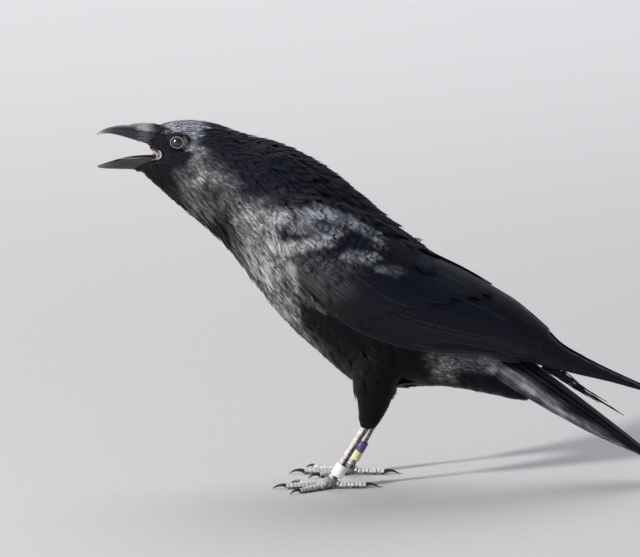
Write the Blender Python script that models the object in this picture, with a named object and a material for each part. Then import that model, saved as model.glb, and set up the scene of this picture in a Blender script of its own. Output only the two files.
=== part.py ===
"""An American crow standing and cawing, life size, as the solids of a museum model.

Frame: metres, +Z up, the floor at z = 0, the bill towards -X and the crow's left side
towards -Y. Sizes are written in millimetres and turned to metres where meshes are made.
The body is one lofted form divided into head, neck and trunk by thin cuts; wings, tail,
thighs, shanks, feet, claws, bills, eyes and leg bands are solids of their own.
"""

import math
from dataclasses import dataclass

import bmesh
import bpy
from mathutils import Matrix, Vector

MM = 0.001
GAP = 0.3  # clearance that touching pieces keep to each other, in mm
CENTRE_X = 24.1  # middle of the bird's length, which becomes x = 0
SIDES = {"left": -1, "right": 1}

# ---------------------------------------------------------------- driving dimensions, mm


@dataclass(frozen=True)
class Ring:
    """One cross-section of the body: its middle in side view, half sizes and lean."""

    x: float
    z: float
    half_height: float
    half_width: float
    lean: float  # degrees that the top of the ring leans towards the tail


BODY = (
    Ring(-153.0, 256.2, 15.3, 9.5, 12),  # bristles over the base of the bill
    Ring(-144.5, 254.4, 20.6, 14.0, 9),  # face and chin
    Ring(-136.1, 251.6, 25.6, 16.6, 7),  # corner of the mouth
    Ring(-126.0, 248.0, 31.0, 19.0, 6),  # eyes and cheeks
    Ring(-108.2, 241.3, 37.0, 23.0, 8),  # nape and beard
    Ring(-84.6, 228.8, 41.0, 29.5, 14),  # neck
    Ring(-54.0, 208.6, 48.0, 39.0, 23),  # root of the neck
    Ring(-22.0, 176.8, 56.4, 45.5, 26),  # shoulders and breast
    Ring(9.0, 148.3, 56.6, 46.0, 27),  # deepest part of the breast
    Ring(32.4, 128.6, 56.6, 43.0, 28),  # thighs
    Ring(55.6, 116.8, 50.8, 37.0, 28),  # belly
    Ring(79.4, 108.6, 38.0, 28.0, 27),  # vent
    Ring(100.5, 96.8, 27.2, 20.0, 25),  # rump
    Ring(119.0, 83.2, 17.0, 13.5, 22),  # coverts under the tail
    Ring(140.0, 69.6, 7.0, 7.0, 15),  # tips of those coverts
)
BODY_SQUARENESS = 2.15  # exponent of the cross-sections: 2 is an ellipse
BODY_COLUMNS = 24
HEAD_END = 4.35  # ring numbers where the body is parted
NECK_END = 6.4
RINGS_PER_STATION = 2

WING = (
    # x, z, half height, half width, lean; from, to: the arc, in degrees from the back's midline
    (Ring(-50.0, 204.3, 48.5, 45.0, 23), 72, 86),
    (Ring(-43.5, 197.8, 50.8, 47.5, 23), 58, 98),
    (Ring(-33.9, 187.9, 54.4, 50.0, 25), 47, 104),
    (Ring(-13.9, 167.9, 57.0, 51.5, 26), 30, 106),
    (Ring(9.0, 148.3, 57.4, 51.5, 27), 17, 105),
    (Ring(32.4, 129.4, 57.6, 50.0, 28), 8, 98),
    (Ring(62.6, 122.5, 49.6, 46.0, 31), 5, 101),
    (Ring(89.4, 118.4, 39.6, 39.0, 30), 4, 103),
    (Ring(112.6, 112.2, 32.8, 32.0, 29), 4, 100),
    (Ring(129.2, 106.4, 26.8, 26.5, 28), 4, 104),
    (Ring(144.6, 100.6, 20.6, 21.0, 27), 5, 106),
)
WING_THICKNESS = 9.0  # thickest part of the folded wing, before the trunk is cut out of it
WING_TIP_THICKNESS = 4.0
WING_EDGE = 0.3  # thickness of the wing's edges as a share of its middle
WING_COLUMNS = 10
COVERTS_END = 4.6  # station of WING where coverts end and the long feathers begin

PRIMARIES = (
    # the same as WING, for the long hand feathers beyond the tips of the inner ones
    (Ring(145.6, 99.4, 18.4, 19.0, 27), 12, 102),
    (Ring(158.0, 94.4, 15.2, 15.5, 27), 12, 97),
    (Ring(175.0, 87.6, 12.0, 12.0, 27), 12, 90),
    (Ring(193.0, 81.4, 9.2, 10.0, 27), 16, 80),
    (Ring(212.0, 75.5, 6.4, 8.6, 26), 26, 74),
    (Ring(226.0, 71.2, 4.6, 7.6, 25), 40, 70),
    (Ring(230.5, 69.9, 4.2, 7.4, 25), 50, 64),
)
PRIMARY_THICKNESS = 2.6
PRIMARY_TIP_THICKNESS = 1.2

TAIL = (
    # x and z of the ridge, half width, drop of the edges below the ridge, thickness
    (104.0, 119.5, 14.0, 22.0, 7.0),
    (120.0, 108.6, 18.0, 25.0, 6.0),
    (145.0, 90.2, 20.0, 22.6, 5.0),
    (170.0, 70.9, 20.5, 17.4, 4.2),
    (195.0, 51.2, 19.5, 11.2, 3.4),
    (215.0, 35.2, 16.5, 6.2, 2.6),
    (228.0, 24.6, 11.5, 3.0, 1.9),
    (234.4, 19.4, 4.5, 0.7, 1.2),
)
TAIL_LEAN = 33.0  # degrees that the tail's cross-sections lean
TAIL_COLUMNS = 10

UPPER_BILL = (
    # x, z of the ridge, z of the cutting edge, half width
    (-185.6, 267.9, 266.9, 0.5),
    (-184.2, 268.9, 267.4, 1.1),
    (-181.0, 270.8, 268.3, 2.1),
    (-176.0, 272.7, 268.6, 3.2),
    (-168.0, 274.2, 267.3, 4.8),
    (-158.0, 274.4, 264.6, 6.4),
    (-148.0, 274.9, 261.7, 7.8),
    (-140.5, 274.8, 257.8, 8.6),
)
LOWER_BILL = (
    # x, z of the cutting edge, z of the underside, half width
    (-185.2, 243.3, 242.3, 0.5),
    (-183.6, 244.0, 241.9, 1.2),
    (-178.0, 245.7, 241.3, 2.6),
    (-170.0, 247.9, 241.1, 4.2),
    (-160.0, 249.8, 240.8, 5.9),
    (-149.0, 250.4, 239.5, 7.4),
    (-141.0, 250.2, 238.6, 8.2),
)
UPPER_HOLLOW = 0.20  # depth of the hollow inside each bill as a share of its height
LOWER_HOLLOW = 0.38
BILL_ARCH_STEPS = 8
MOUTH_CORNER_X = -137.6
MOUTH_CORNER_Z = 253.4
MOUTH_TOP_ANGLE = 36.0  # slopes of the mouth's two faces where they leave its corner
MOUTH_BOTTOM_ANGLE = -28.0
MOUTH_REACH = 26.0
MOUTH_WIDTH = 60.0

TONGUE_ROOT_X = -144.5
TONGUE_LENGTH = 24.0
TONGUE_Z = 248.3
TONGUE_HALF_WIDTH = 3.0
TONGUE_HALF_HEIGHT = 1.0

EYE_X = -124.5
EYE_Y = 12.3
EYE_Z = 264.0
EYE_RADIUS = 6.3

FOOT_X = {"left": -11.3, "right": 2.9}
FOOT_Y = 22.0
LEG_LEAN = {"left": 32.0, "right": 28.5}  # degrees from upright of the bare leg
FOOT_TURN = {"left": 3.0, "right": 1.0}  # degrees that the middle toe turns outward
BALL_HEIGHT = 4.4
BALL_RADIUS = 4.5
SHANK_LENGTH = 57.0
SHANK = (
    # distance along the leg, half size fore and aft, half size across
    (BALL_RADIUS + GAP, 3.3, 3.0),
    (9.0, 2.9, 2.5),
    (20.0, 2.7, 2.2),
    (38.0, 2.6, 2.1),
    (49.0, 2.9, 2.3),
    (SHANK_LENGTH, 3.8, 3.2),
    (SHANK_LENGTH + 3.5, 2.4, 2.0),
)

TOES = {
    # degrees outward from the middle toe, length, radius at the root, length of the claw
    "inner": (-27.0, 23.0, 2.7, 9.5),
    "middle": (0.0, 32.0, 3.0, 11.0),
    "outer": (31.0, 27.0, 2.7, 9.0),
    "hind": (180.0, 26.0, 3.0, 11.0),
}
FOOT_SCALE = {"left": 1.0, "right": 1.06}  # the left foot's toes are a little bent
TOE_DROP = 7.0  # distance in which a toe comes down from the ball to the floor
TOE_TAPER = 0.70  # radius at the claw as a share of the radius at the root
TOE_SINK = 0.86  # height of a toe's middle above the floor as a share of its radius
TOE_COLUMNS = 10
CLAW_ARCH = 3.4  # rise of the curve that a claw follows
CLAW_ROOT = 0.8  # radius of a claw's root as a share of its toe's
CLAW_TIP_RADIUS = 0.35
CLAW_CLEARANCE = 0.2
CLAW_COLUMNS = 7

THIGH = (
    # height above the ankle, half size fore and aft, half size across, shift to the tail
    (-6.2, 5.4, 4.6, -1.4),
    (-2.8, 7.9, 6.2, -1.2),
    (8.6, 11.3, 9.0, 2.0),
    (20.0, 14.6, 12.0, 3.4),
    (35.0, 18.0, 14.5, 4.5),
    (52.0, 20.0, 15.0, 6.5),
)
THIGH_SHIFT = {"left": 0.0, "right": -6.0}
THIGH_INWARD = 0.10  # how far the thigh moves outward for each mm that it rises

BAND_COLUMNS = 18
BANDS = {
    # side, distance along the leg, length, outer radius, wall
    "left_leg_band": ("left", 12.4, 10.0, 4.95, 0.8),
    "right_leg_band_yellow": ("right", 12.6, 7.6, 3.9, 0.7),
    "right_leg_band_purple": ("right", 20.6, 7.6, 3.9, 0.7),
}

# ---------------------------------------------------------------- materials

FINISHES = {
    # base colour, roughness, metallic
    "plumage": ((0.012, 0.012, 0.016), 0.45, 0.0),
    "wing_feathers": ((0.010, 0.012, 0.020), 0.35, 0.0),
    "bill_horn": ((0.020, 0.020, 0.022), 0.35, 0.0),
    "mouth_skin": ((0.55, 0.36, 0.36), 0.45, 0.0),
    "eye": ((0.018, 0.010, 0.007), 0.08, 0.0),
    "leg_skin": ((0.10, 0.095, 0.095), 0.55, 0.0),
    "claw_horn": ((0.030, 0.028, 0.028), 0.35, 0.0),
    "band_metal": ((0.75, 0.75, 0.76), 0.35, 0.9),
    "band_yellow": ((0.66, 0.68, 0.24), 0.45, 0.0),
    "band_purple": ((0.10, 0.06, 0.24), 0.45, 0.0),
}


def finish(name):
    """The Principled material of this name, made the first time that it is asked for."""
    found = bpy.data.materials.get(name)
    if found:
        return found
    colour, roughness, metallic = FINISHES[name]
    material = bpy.data.materials.new(name)
    material.use_nodes = True
    surface = material.node_tree.nodes["Principled BSDF"]
    surface.inputs["Base Color"].default_value = (*colour, 1.0)
    surface.inputs["Roughness"].default_value = roughness
    surface.inputs["Metallic"].default_value = metallic
    return material


# ---------------------------------------------------------------- curves and lofts


def blend(rows, place):
    """The row of numbers at a place between rows, on a smooth curve through all of them."""
    first = min(int(place), len(rows) - 2)
    part = place - first
    before, here, after, beyond = (
        rows[max(0, min(len(rows) - 1, first + step))] for step in (-1, 0, 1, 2)
    )
    return [
        0.5
        * (
            2 * b
            + (c - a) * part
            + (2 * a - 5 * b + 4 * c - d) * part**2
            + (3 * b - a - 3 * c + d) * part**3
        )
        for a, b, c, d in zip(before, here, after, beyond)
    ]


def places(start, end, count):
    """Evenly spaced places from start to end, both included."""
    return [start + (end - start) * step / count for step in range(count + 1)]


def ring_row(ring):
    return [ring.x, ring.z, ring.half_height, ring.half_width, ring.lean]


def power(value, exponent):
    return math.copysign(abs(value) ** exponent, value)


def ring_point(row, angle, squareness, shrink=0.0):
    """A point on a ring, at this angle in radians from the back's midline towards +Y."""
    x, z, half_height, half_width, lean = row
    rise = (half_height - shrink) * power(math.cos(angle), 2 / squareness)
    across = (half_width - shrink) * power(math.sin(angle), 2 / squareness)
    tilt = math.radians(lean)
    return Vector((x + rise * math.sin(tilt), across, z + rise * math.cos(tilt)))


def ring_normal(row):
    """The direction towards the tail at right angles to a ring."""
    tilt = math.radians(row[4])
    return Vector((math.cos(tilt), 0.0, -math.sin(tilt)))


def mesh_from_loops(name, loops, bulges=(0.0, 0.0)):
    """A closed mesh through loops of points in mm, each end capped round a middle point.

    A bulge moves that middle point outward. An end whose bulge is None gets one flat face.
    """
    form = bmesh.new()
    rows = [[form.verts.new(point * MM) for point in loop] for loop in loops]
    for low, high in zip(rows, rows[1:]):
        for index, corner in enumerate(low):
            following = (index + 1) % len(low)
            form.faces.new((corner, low[following], high[following], high[index]))
    ends = ((rows[0], rows[1], bulges[0]), (rows[-1], rows[-2], bulges[1]))
    for end, inner, bulge in ends:
        if bulge is None:
            form.faces.new(end)
            continue
        middle = sum((vert.co for vert in end), Vector()) / len(end)
        within = sum((vert.co for vert in inner), Vector()) / len(inner)
        tip = form.verts.new(middle + (middle - within).normalized() * bulge * MM)
        for index, corner in enumerate(end):
            form.faces.new((corner, end[(index + 1) % len(end)], tip))
    bmesh.ops.recalc_face_normals(form, faces=form.faces)
    mesh = bpy.data.meshes.new(name)
    form.to_mesh(mesh)
    form.free()
    return mesh


def inflated(mesh, distance):
    """A copy of a mesh with its surface moved outward by a distance in mm."""
    form = bmesh.new()
    form.from_mesh(mesh)
    form.normal_update()
    moves = [vert.normal * vert.calc_shell_factor() * distance * MM for vert in form.verts]
    for vert, move in zip(form.verts, moves):
        vert.co += move
    swollen = bpy.data.meshes.new(mesh.name + "_inflated")
    form.to_mesh(swollen)
    form.free()
    return swollen


def place(name, mesh, material=None, parent=None):
    """An object for a mesh. One with no material is a cutter, left out of the model."""
    piece = bpy.data.objects.new(name, mesh)
    bpy.context.scene.collection.objects.link(piece)
    piece.parent = parent
    if material:
        mesh.shade_smooth()
        mesh.set_sharp_from_angle(angle=math.radians(40))
        mesh.materials.append(finish(material))
    else:
        piece.hide_render = True
        piece.display_type = "WIRE"
    return piece


def combine(piece, other, operation):
    """Adds a Boolean modifier to a piece: DIFFERENCE cuts the other away, UNION joins it."""
    modifier = piece.modifiers.new(f"{operation.lower()}_{other.name}", "BOOLEAN")
    modifier.operation = operation
    modifier.solver = "EXACT"
    modifier.object = other


def clearance_cutter(mesh, frame):
    """A cutter that leaves the usual clearance round a mesh."""
    return place(mesh.name + "_clearance", inflated(mesh, GAP), parent=frame)


# ---------------------------------------------------------------- head, neck and trunk


def body_length(name, start, end, front_bulge=None, back_bulge=None):
    """The stretch of the body between two ring numbers, flat where it is parted."""
    rows = [ring_row(ring) for ring in BODY]
    stations = places(start, end, round((end - start) * RINGS_PER_STATION))
    loops = []
    for station in stations:
        row = blend(rows, station)
        angles = [2 * math.pi * step / BODY_COLUMNS for step in range(BODY_COLUMNS)]
        loops.append([ring_point(row, angle, BODY_SQUARENESS) for angle in angles])
    if front_bulge is None:
        step_back = ring_normal(blend(rows, start)) * GAP
        loops[0] = [point + step_back for point in loops[0]]
    return mesh_from_loops(name, loops, (front_bulge, back_bulge))


def upper_bill_loop(row, hollow):
    x, ridge, edge, half_width = row
    height = ridge - edge
    loop = []
    for step in range(BILL_ARCH_STEPS + 1):
        angle = math.pi * step / BILL_ARCH_STEPS
        loop.append(
            Vector((x, half_width * math.cos(angle), edge + height * math.sin(angle) ** 0.9))
        )
    for share in (-0.5, 0.0, 0.5):
        rise = hollow * height * math.cos(share * math.pi / 1.5)
        loop.append(Vector((x, share * half_width, edge + rise)))
    return loop


def lower_bill_loop(row, hollow):
    x, edge, underside, half_width = row
    return upper_bill_loop((x, underside, edge, half_width), hollow)


def bill(name, rows, loop_of, hollow):
    loops = [loop_of(blend(rows, station), hollow) for station in places(0, len(rows) - 1, 12)]
    return mesh_from_loops(name, loops, (0.3, None))


def mouth_wedge():
    """The open space between the bills, back to the corner of the mouth."""
    corner = Vector((MOUTH_CORNER_X, 0.0, MOUTH_CORNER_Z))
    profile = [corner]
    for slope in (MOUTH_TOP_ANGLE, MOUTH_BOTTOM_ANGLE):
        rise = MOUTH_REACH * math.tan(math.radians(slope))
        profile.append(corner + Vector((-MOUTH_REACH, 0.0, rise)))
    sides = [
        [point + Vector((0.0, half, 0.0)) for point in profile]
        for half in (-MOUTH_WIDTH / 2, MOUTH_WIDTH / 2)
    ]
    return mesh_from_loops("mouth_wedge", sides, (None, None))


def tongue():
    """A flat blade that narrows to its tip."""
    loops = []
    for share in places(0.0, 0.96, 6):
        width = TONGUE_HALF_WIDTH * math.sqrt(1 - share**2) * (1 - 0.3 * share)
        height = TONGUE_HALF_HEIGHT * (1 - 0.6 * share)
        x = TONGUE_ROOT_X - TONGUE_LENGTH * share
        loops.append(
            [
                Vector((x, width * math.cos(angle), TONGUE_Z + height * math.sin(angle)))
                for angle in (2 * math.pi * step / 10 for step in range(10))
            ]
        )
    return mesh_from_loops("tongue", loops, (None, 0.3))


def ball(name, middle, radius, segments, rings):
    form = bmesh.new()
    bmesh.ops.create_uvsphere(
        form, u_segments=segments, v_segments=rings, radius=radius * MM,
        matrix=Matrix.Translation(middle * MM),
    )
    mesh = bpy.data.meshes.new(name)
    form.to_mesh(mesh)
    form.free()
    return mesh


def build_head(frame):
    head = place("head", body_length("head", 0, HEAD_END, 2.0, None), "plumage", frame)
    combine(head, place("mouth_wedge", mouth_wedge(), parent=frame), "DIFFERENCE")
    bills = (
        ("upper_bill", UPPER_BILL, upper_bill_loop, UPPER_HOLLOW),
        ("lower_bill", LOWER_BILL, lower_bill_loop, LOWER_HOLLOW),
    )
    for name, rows, loop_of, hollow in bills:
        place(name, bill(name, rows, loop_of, hollow), "bill_horn", frame)
        plug = bill(name + "_plug", rows, loop_of, 0.0)
        combine(head, clearance_cutter(plug, frame), "DIFFERENCE")
    place("tongue", tongue(), "mouth_skin", frame)
    for side, sign in SIDES.items():
        eye = ball(f"{side}_eye", Vector((EYE_X, sign * EYE_Y, EYE_Z)), EYE_RADIUS, 16, 10)
        place(f"{side}_eye", eye, "eye", frame)
        combine(head, clearance_cutter(eye, frame), "DIFFERENCE")


def build_neck_and_trunk(frame):
    """Adds the neck and trunk, and returns the cutters that keep others clear of them."""
    neck = body_length("neck", HEAD_END, NECK_END)
    trunk = body_length("trunk", NECK_END, len(BODY) - 1, None, 3.0)
    place("neck", neck, "plumage", frame)
    place("trunk", trunk, "plumage", frame)
    return clearance_cutter(neck, frame), clearance_cutter(trunk, frame)


# ---------------------------------------------------------------- wings and tail


def shell_loop(row, start, end, thickness, sign):
    """A crescent cross-section: out along the ring's arc, then back along its inner face."""
    outer, inner = [], []
    for share in places(0.0, 1.0, WING_COLUMNS):
        angle = math.radians(start + (end - start) * share)
        depth = thickness * (WING_EDGE + (1 - WING_EDGE) * math.sin(math.pi * share))
        outer.append(ring_point(row, sign * angle, BODY_SQUARENESS))
        inner.append(ring_point(row, sign * angle, BODY_SQUARENESS, depth))
    return outer + inner[::-1]


def wing_length(name, stations, span, thicknesses, sign, steps):
    """A stretch of a folded wing between two stations, with flat ends."""
    rows = [ring_row(ring) + [start, end] for ring, start, end in stations]
    loops = []
    for station in places(*span, steps):
        *row, start, end = blend(rows, station)
        share = station / (len(stations) - 1)
        thickness = thicknesses[0] + (thicknesses[1] - thicknesses[0]) * share
        loops.append(shell_loop(row, start, end, thickness, sign))
    step_back = ring_normal(blend(rows, span[0])) * GAP
    loops[0] = [point + step_back for point in loops[0]]
    return mesh_from_loops(name, loops, (None, None))


def build_wings(frame, neck_cutter, trunk_cutter):
    thick = (WING_THICKNESS, WING_TIP_THICKNESS)
    thin = (PRIMARY_THICKNESS, PRIMARY_TIP_THICKNESS)
    last = len(WING) - 1
    for side, sign in SIDES.items():
        lengths = (
            ("coverts", WING, (0, COVERTS_END), thick, 7),
            ("secondaries", WING, (COVERTS_END, last), thick, 6),
            ("primaries", PRIMARIES, (0, len(PRIMARIES) - 1), thin, 7),
        )
        for part, stations, span, thicknesses, steps in lengths:
            name = f"{side}_wing_{part}"
            mesh = wing_length(name, stations, span, thicknesses, sign, steps)
            wing = place(name, mesh, "wing_feathers", frame)
            combine(wing, trunk_cutter, "DIFFERENCE")
            if part == "coverts":
                combine(wing, neck_cutter, "DIFFERENCE")


def tail_loop(row):
    """A roof-shaped cross-section, open below."""
    x, z, half_width, drop, thickness = row
    tilt = math.radians(TAIL_LEAN)
    up = Vector((math.sin(tilt), 0.0, math.cos(tilt)))
    ridge = Vector((x, 0.0, z))
    outer, inner = [], []
    for share in places(-1.0, 1.0, TAIL_COLUMNS):
        angle = share * math.pi / 2
        depth = thickness * (0.35 + 0.65 * math.cos(angle))
        fall = drop * (1 - math.cos(angle))
        outer.append(ridge - up * fall + Vector((0.0, half_width * math.sin(angle), 0.0)))
        inside = (half_width - 0.35 * thickness) * math.sin(angle)
        inner.append(ridge - up * (fall + depth) + Vector((0.0, inside, 0.0)))
    return outer + inner[::-1]


def build_tail(frame, trunk_cutter):
    loops = [tail_loop(blend(TAIL, station)) for station in places(0, len(TAIL) - 1, 10)]
    tail = place("tail", mesh_from_loops("tail", loops, (None, None)), "wing_feathers", frame)
    combine(tail, trunk_cutter, "DIFFERENCE")


# ---------------------------------------------------------------- legs


def oval(middle, along_first, first, along_second, second, columns):
    """A loop of points round a middle, from two half sizes along two directions."""
    return [
        middle
        + along_first * first * math.cos(2 * math.pi * step / columns)
        + along_second * second * math.sin(2 * math.pi * step / columns)
        for step in range(columns)
    ]


class Leg:
    """One leg: where it stands and which way its bare part leans."""

    def __init__(self, side):
        self.side = side
        self.sign = SIDES[side]
        self.base = Vector((FOOT_X[side], self.sign * FOOT_Y, BALL_HEIGHT))
        lean = math.radians(LEG_LEAN[side])
        self.up = Vector((math.sin(lean), 0.0, math.cos(lean)))
        self.forward = Vector((-math.cos(lean), 0.0, math.sin(lean)))
        self.across = Vector((0.0, 1.0, 0.0))
        self.ankle = self.base + self.up * SHANK_LENGTH
        self.scale = FOOT_SCALE[side]

    def shank(self):
        loops = []
        for station in places(0, len(SHANK) - 1, 10):
            distance, deep, wide = blend(SHANK, station)
            middle = self.base + self.up * distance
            loops.append(oval(middle, self.forward, deep, self.across, wide, 12))
        return mesh_from_loops(f"{self.side}_shank", loops, (None, 1.0))

    def thigh(self):
        loops = []
        for station in places(0, len(THIGH) - 1, 8):
            height, deep, wide, shift = blend(THIGH, station)
            outward = self.sign * THIGH_INWARD * height
            middle = self.ankle + Vector((shift + THIGH_SHIFT[self.side], outward, height))
            loops.append(oval(middle, Vector((-1, 0, 0)), deep, self.across, wide, 16))
        return mesh_from_loops(f"{self.side}_thigh", loops, (1.0, None))

    def toe_direction(self, turn):
        angle = math.radians(turn + FOOT_TURN[self.side])
        return Vector((-math.cos(angle), self.sign * math.sin(angle), 0.0))

    def toe(self, name, turn, length, radius):
        """A toe from inside the ball to its flat end, low enough to lie on the floor."""
        direction = self.toe_direction(turn)
        sideways = Vector((-direction.y, direction.x, 0.0))
        length *= self.scale
        loops = []
        for distance in (0.0, TOE_DROP / 2, TOE_DROP, (TOE_DROP + length) / 2, length):
            size = radius * (1 - (1 - TOE_TAPER) * distance / length)
            down = min(1.0, distance / TOE_DROP)
            height = BALL_HEIGHT + (TOE_SINK * size - BALL_HEIGHT) * down
            middle = self.base + direction * distance
            middle.z = height
            loops.append(oval(middle, sideways, size, Vector((0, 0, 1)), size, TOE_COLUMNS))
        return mesh_from_loops(f"{self.side}_{name}_toe", loops, (None, None))

    def claw(self, name, turn, length, radius, reach):
        """A claw that rises from the end of its toe and curves down to just above the floor."""
        direction = self.toe_direction(turn)
        sideways = Vector((-direction.y, direction.x, 0.0))
        root = radius * TOE_TAPER
        start = self.base + direction * (length * self.scale + GAP)
        start.z = TOE_SINK * root
        tip_height = CLAW_TIP_RADIUS + CLAW_CLEARANCE
        loops = []
        for share in places(0.0, 1.0, 6):
            low, high, tip = (1 - share) ** 2, 2 * share * (1 - share), share**2
            middle = start + direction * reach * (0.45 * high + tip)
            middle.z = start.z * low + (start.z + CLAW_ARCH) * high + tip_height * tip
            size = root * CLAW_ROOT + (CLAW_TIP_RADIUS - root * CLAW_ROOT) * share
            slope = math.atan2(
                2 * (1 - share) * CLAW_ARCH + 2 * share * (tip_height - start.z - CLAW_ARCH),
                2 * reach * ((1 - share) * 0.45 + share * 0.55),
            )
            swing = slope * min(1.0, share * 3)
            rise = Vector((0, 0, math.cos(swing))) - direction * math.sin(swing)
            loops.append(oval(middle, sideways, size * 0.75, rise, size, CLAW_COLUMNS))
        return mesh_from_loops(f"{self.side}_{name}_claw", loops, (None, 0.2))

    def band(self, name, distance, length, radius, wall):
        """A ring round the bare leg, resting against its front."""
        inner = radius - wall
        slack = inner - SHANK[2][1] - GAP - 0.1
        middle = self.base + self.up * distance - self.forward * slack
        half = self.up * length / 2
        profile = ((radius, -1), (radius, 1), (inner, 1), (inner, -1))
        form = bmesh.new()
        loops = []
        for size, end in profile:
            loop = oval(middle + half * end, self.forward, size, self.across, size, BAND_COLUMNS)
            loops.append([form.verts.new(point * MM) for point in loop])
        for low, high in zip(loops, loops[1:] + loops[:1]):
            for index in range(BAND_COLUMNS):
                following = (index + 1) % BAND_COLUMNS
                form.faces.new((low[index], low[following], high[following], high[index]))
        bmesh.ops.recalc_face_normals(form, faces=form.faces)
        mesh = bpy.data.meshes.new(name)
        form.to_mesh(mesh)
        form.free()
        return mesh


def floor_cutter(frame):
    """A slab whose top is the floor, which flattens what stands on it."""
    form = bmesh.new()
    bmesh.ops.create_cube(form, size=0.4, matrix=Matrix.Translation((0.0, 0.0, -0.2)))
    mesh = bpy.data.meshes.new("floor_slab")
    form.to_mesh(mesh)
    form.free()
    return place("floor_slab", mesh, parent=frame)


def build_leg(side, frame, trunk_cutter, floor):
    leg = Leg(side)
    shank_mesh = leg.shank()
    place(f"{side}_shank", shank_mesh, "leg_skin", frame)
    thigh = place(f"{side}_thigh", leg.thigh(), "plumage", frame)
    combine(thigh, trunk_cutter, "DIFFERENCE")
    combine(thigh, clearance_cutter(shank_mesh, frame), "DIFFERENCE")
    foot_mesh = ball(f"{side}_foot", leg.base, BALL_RADIUS, 12, 8)
    foot = place(f"{side}_foot", foot_mesh, "leg_skin", frame)
    for name, (turn, length, radius, reach) in TOES.items():
        toe = place(f"{side}_{name}_toe", leg.toe(name, turn, length, radius), parent=frame)
        combine(foot, toe, "UNION")
        claw = leg.claw(name, turn, length, radius, reach)
        place(f"{side}_{name}_claw", claw, "claw_horn", frame)
    combine(foot, floor, "DIFFERENCE")
    materials = {"left_leg_band": "band_metal", "right_leg_band_yellow": "band_yellow"}
    for name, (band_side, distance, length, radius, wall) in BANDS.items():
        if band_side == side:
            material = materials.get(name, "band_purple")
            place(name, leg.band(name, distance, length, radius, wall), material, frame)


# ---------------------------------------------------------------- the whole bird


def clear_scene():
    for thing in list(bpy.data.objects):
        bpy.data.objects.remove(thing, do_unlink=True)


def main():
    clear_scene()
    frame = bpy.data.objects.new("crow_frame", None)
    bpy.context.scene.collection.objects.link(frame)
    frame.location.x = -CENTRE_X * MM
    build_head(frame)
    neck_cutter, trunk_cutter = build_neck_and_trunk(frame)
    build_wings(frame, neck_cutter, trunk_cutter)
    build_tail(frame, trunk_cutter)
    floor = floor_cutter(frame)
    for side in SIDES:
        build_leg(side, frame, trunk_cutter, floor)


main()
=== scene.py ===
"""Looks of an American crow that stands and caws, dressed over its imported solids.

The frame is in metres, +Z up, the floor at 0, the bill towards -X and the left side
towards -Y. Tables hold millimetres, and `at` turns them into places in the frame.
"""

import logging
import math
from dataclasses import dataclass, replace
from enum import Enum
from typing import Iterable, Optional, Sequence, Union

import bmesh
import bpy
import numpy as np
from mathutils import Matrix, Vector
from mathutils.bvhtree import BVHTree


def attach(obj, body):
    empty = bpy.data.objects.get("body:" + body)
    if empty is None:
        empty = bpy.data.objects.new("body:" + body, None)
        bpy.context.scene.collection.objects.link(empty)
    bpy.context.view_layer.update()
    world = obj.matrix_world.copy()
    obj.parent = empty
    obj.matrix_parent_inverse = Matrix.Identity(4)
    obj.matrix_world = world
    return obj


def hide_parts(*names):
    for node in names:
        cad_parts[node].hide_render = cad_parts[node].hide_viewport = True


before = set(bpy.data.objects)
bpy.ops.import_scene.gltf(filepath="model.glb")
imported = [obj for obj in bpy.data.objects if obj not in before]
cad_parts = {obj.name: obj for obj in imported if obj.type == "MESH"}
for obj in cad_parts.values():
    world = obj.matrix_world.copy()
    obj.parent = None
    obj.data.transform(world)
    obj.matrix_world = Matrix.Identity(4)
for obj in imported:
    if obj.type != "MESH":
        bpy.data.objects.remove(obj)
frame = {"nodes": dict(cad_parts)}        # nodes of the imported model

LOG = logging.getLogger("crow")
MM = 0.001                       # a millimetre in the frame's metres
CENTRE_X = 24.1                  # x of the frame's origin on the source's drawing, in mm
EYE = (-124.5, 11.7, 264.0)      # middle of the right eye on that drawing
ROUNDNESS = 2.15                 # power of the cross-sections, where 2 is an ellipse
BAKE_PATCH = 0.003               # size of one feather on its piece's unwrap
Array = np.ndarray
Number = Union[int, float]


class Side(Enum):
    """The two sides of the bird, as the sign of y."""

    LEFT = -1
    RIGHT = 1

    @property
    def word(self) -> str:
        """The side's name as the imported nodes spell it."""
        return self.name.lower()


FEET = {Side.LEFT: (-11.3, 32.0), Side.RIGHT: (2.9, 28.5)}   # x in mm, and the leg's lean
FOOT_Y, FOOT_Z, SHANK = 22.0, 4.4, 57.0                      # mm: half stance, ball, bare leg


# ---- shader maths


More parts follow.
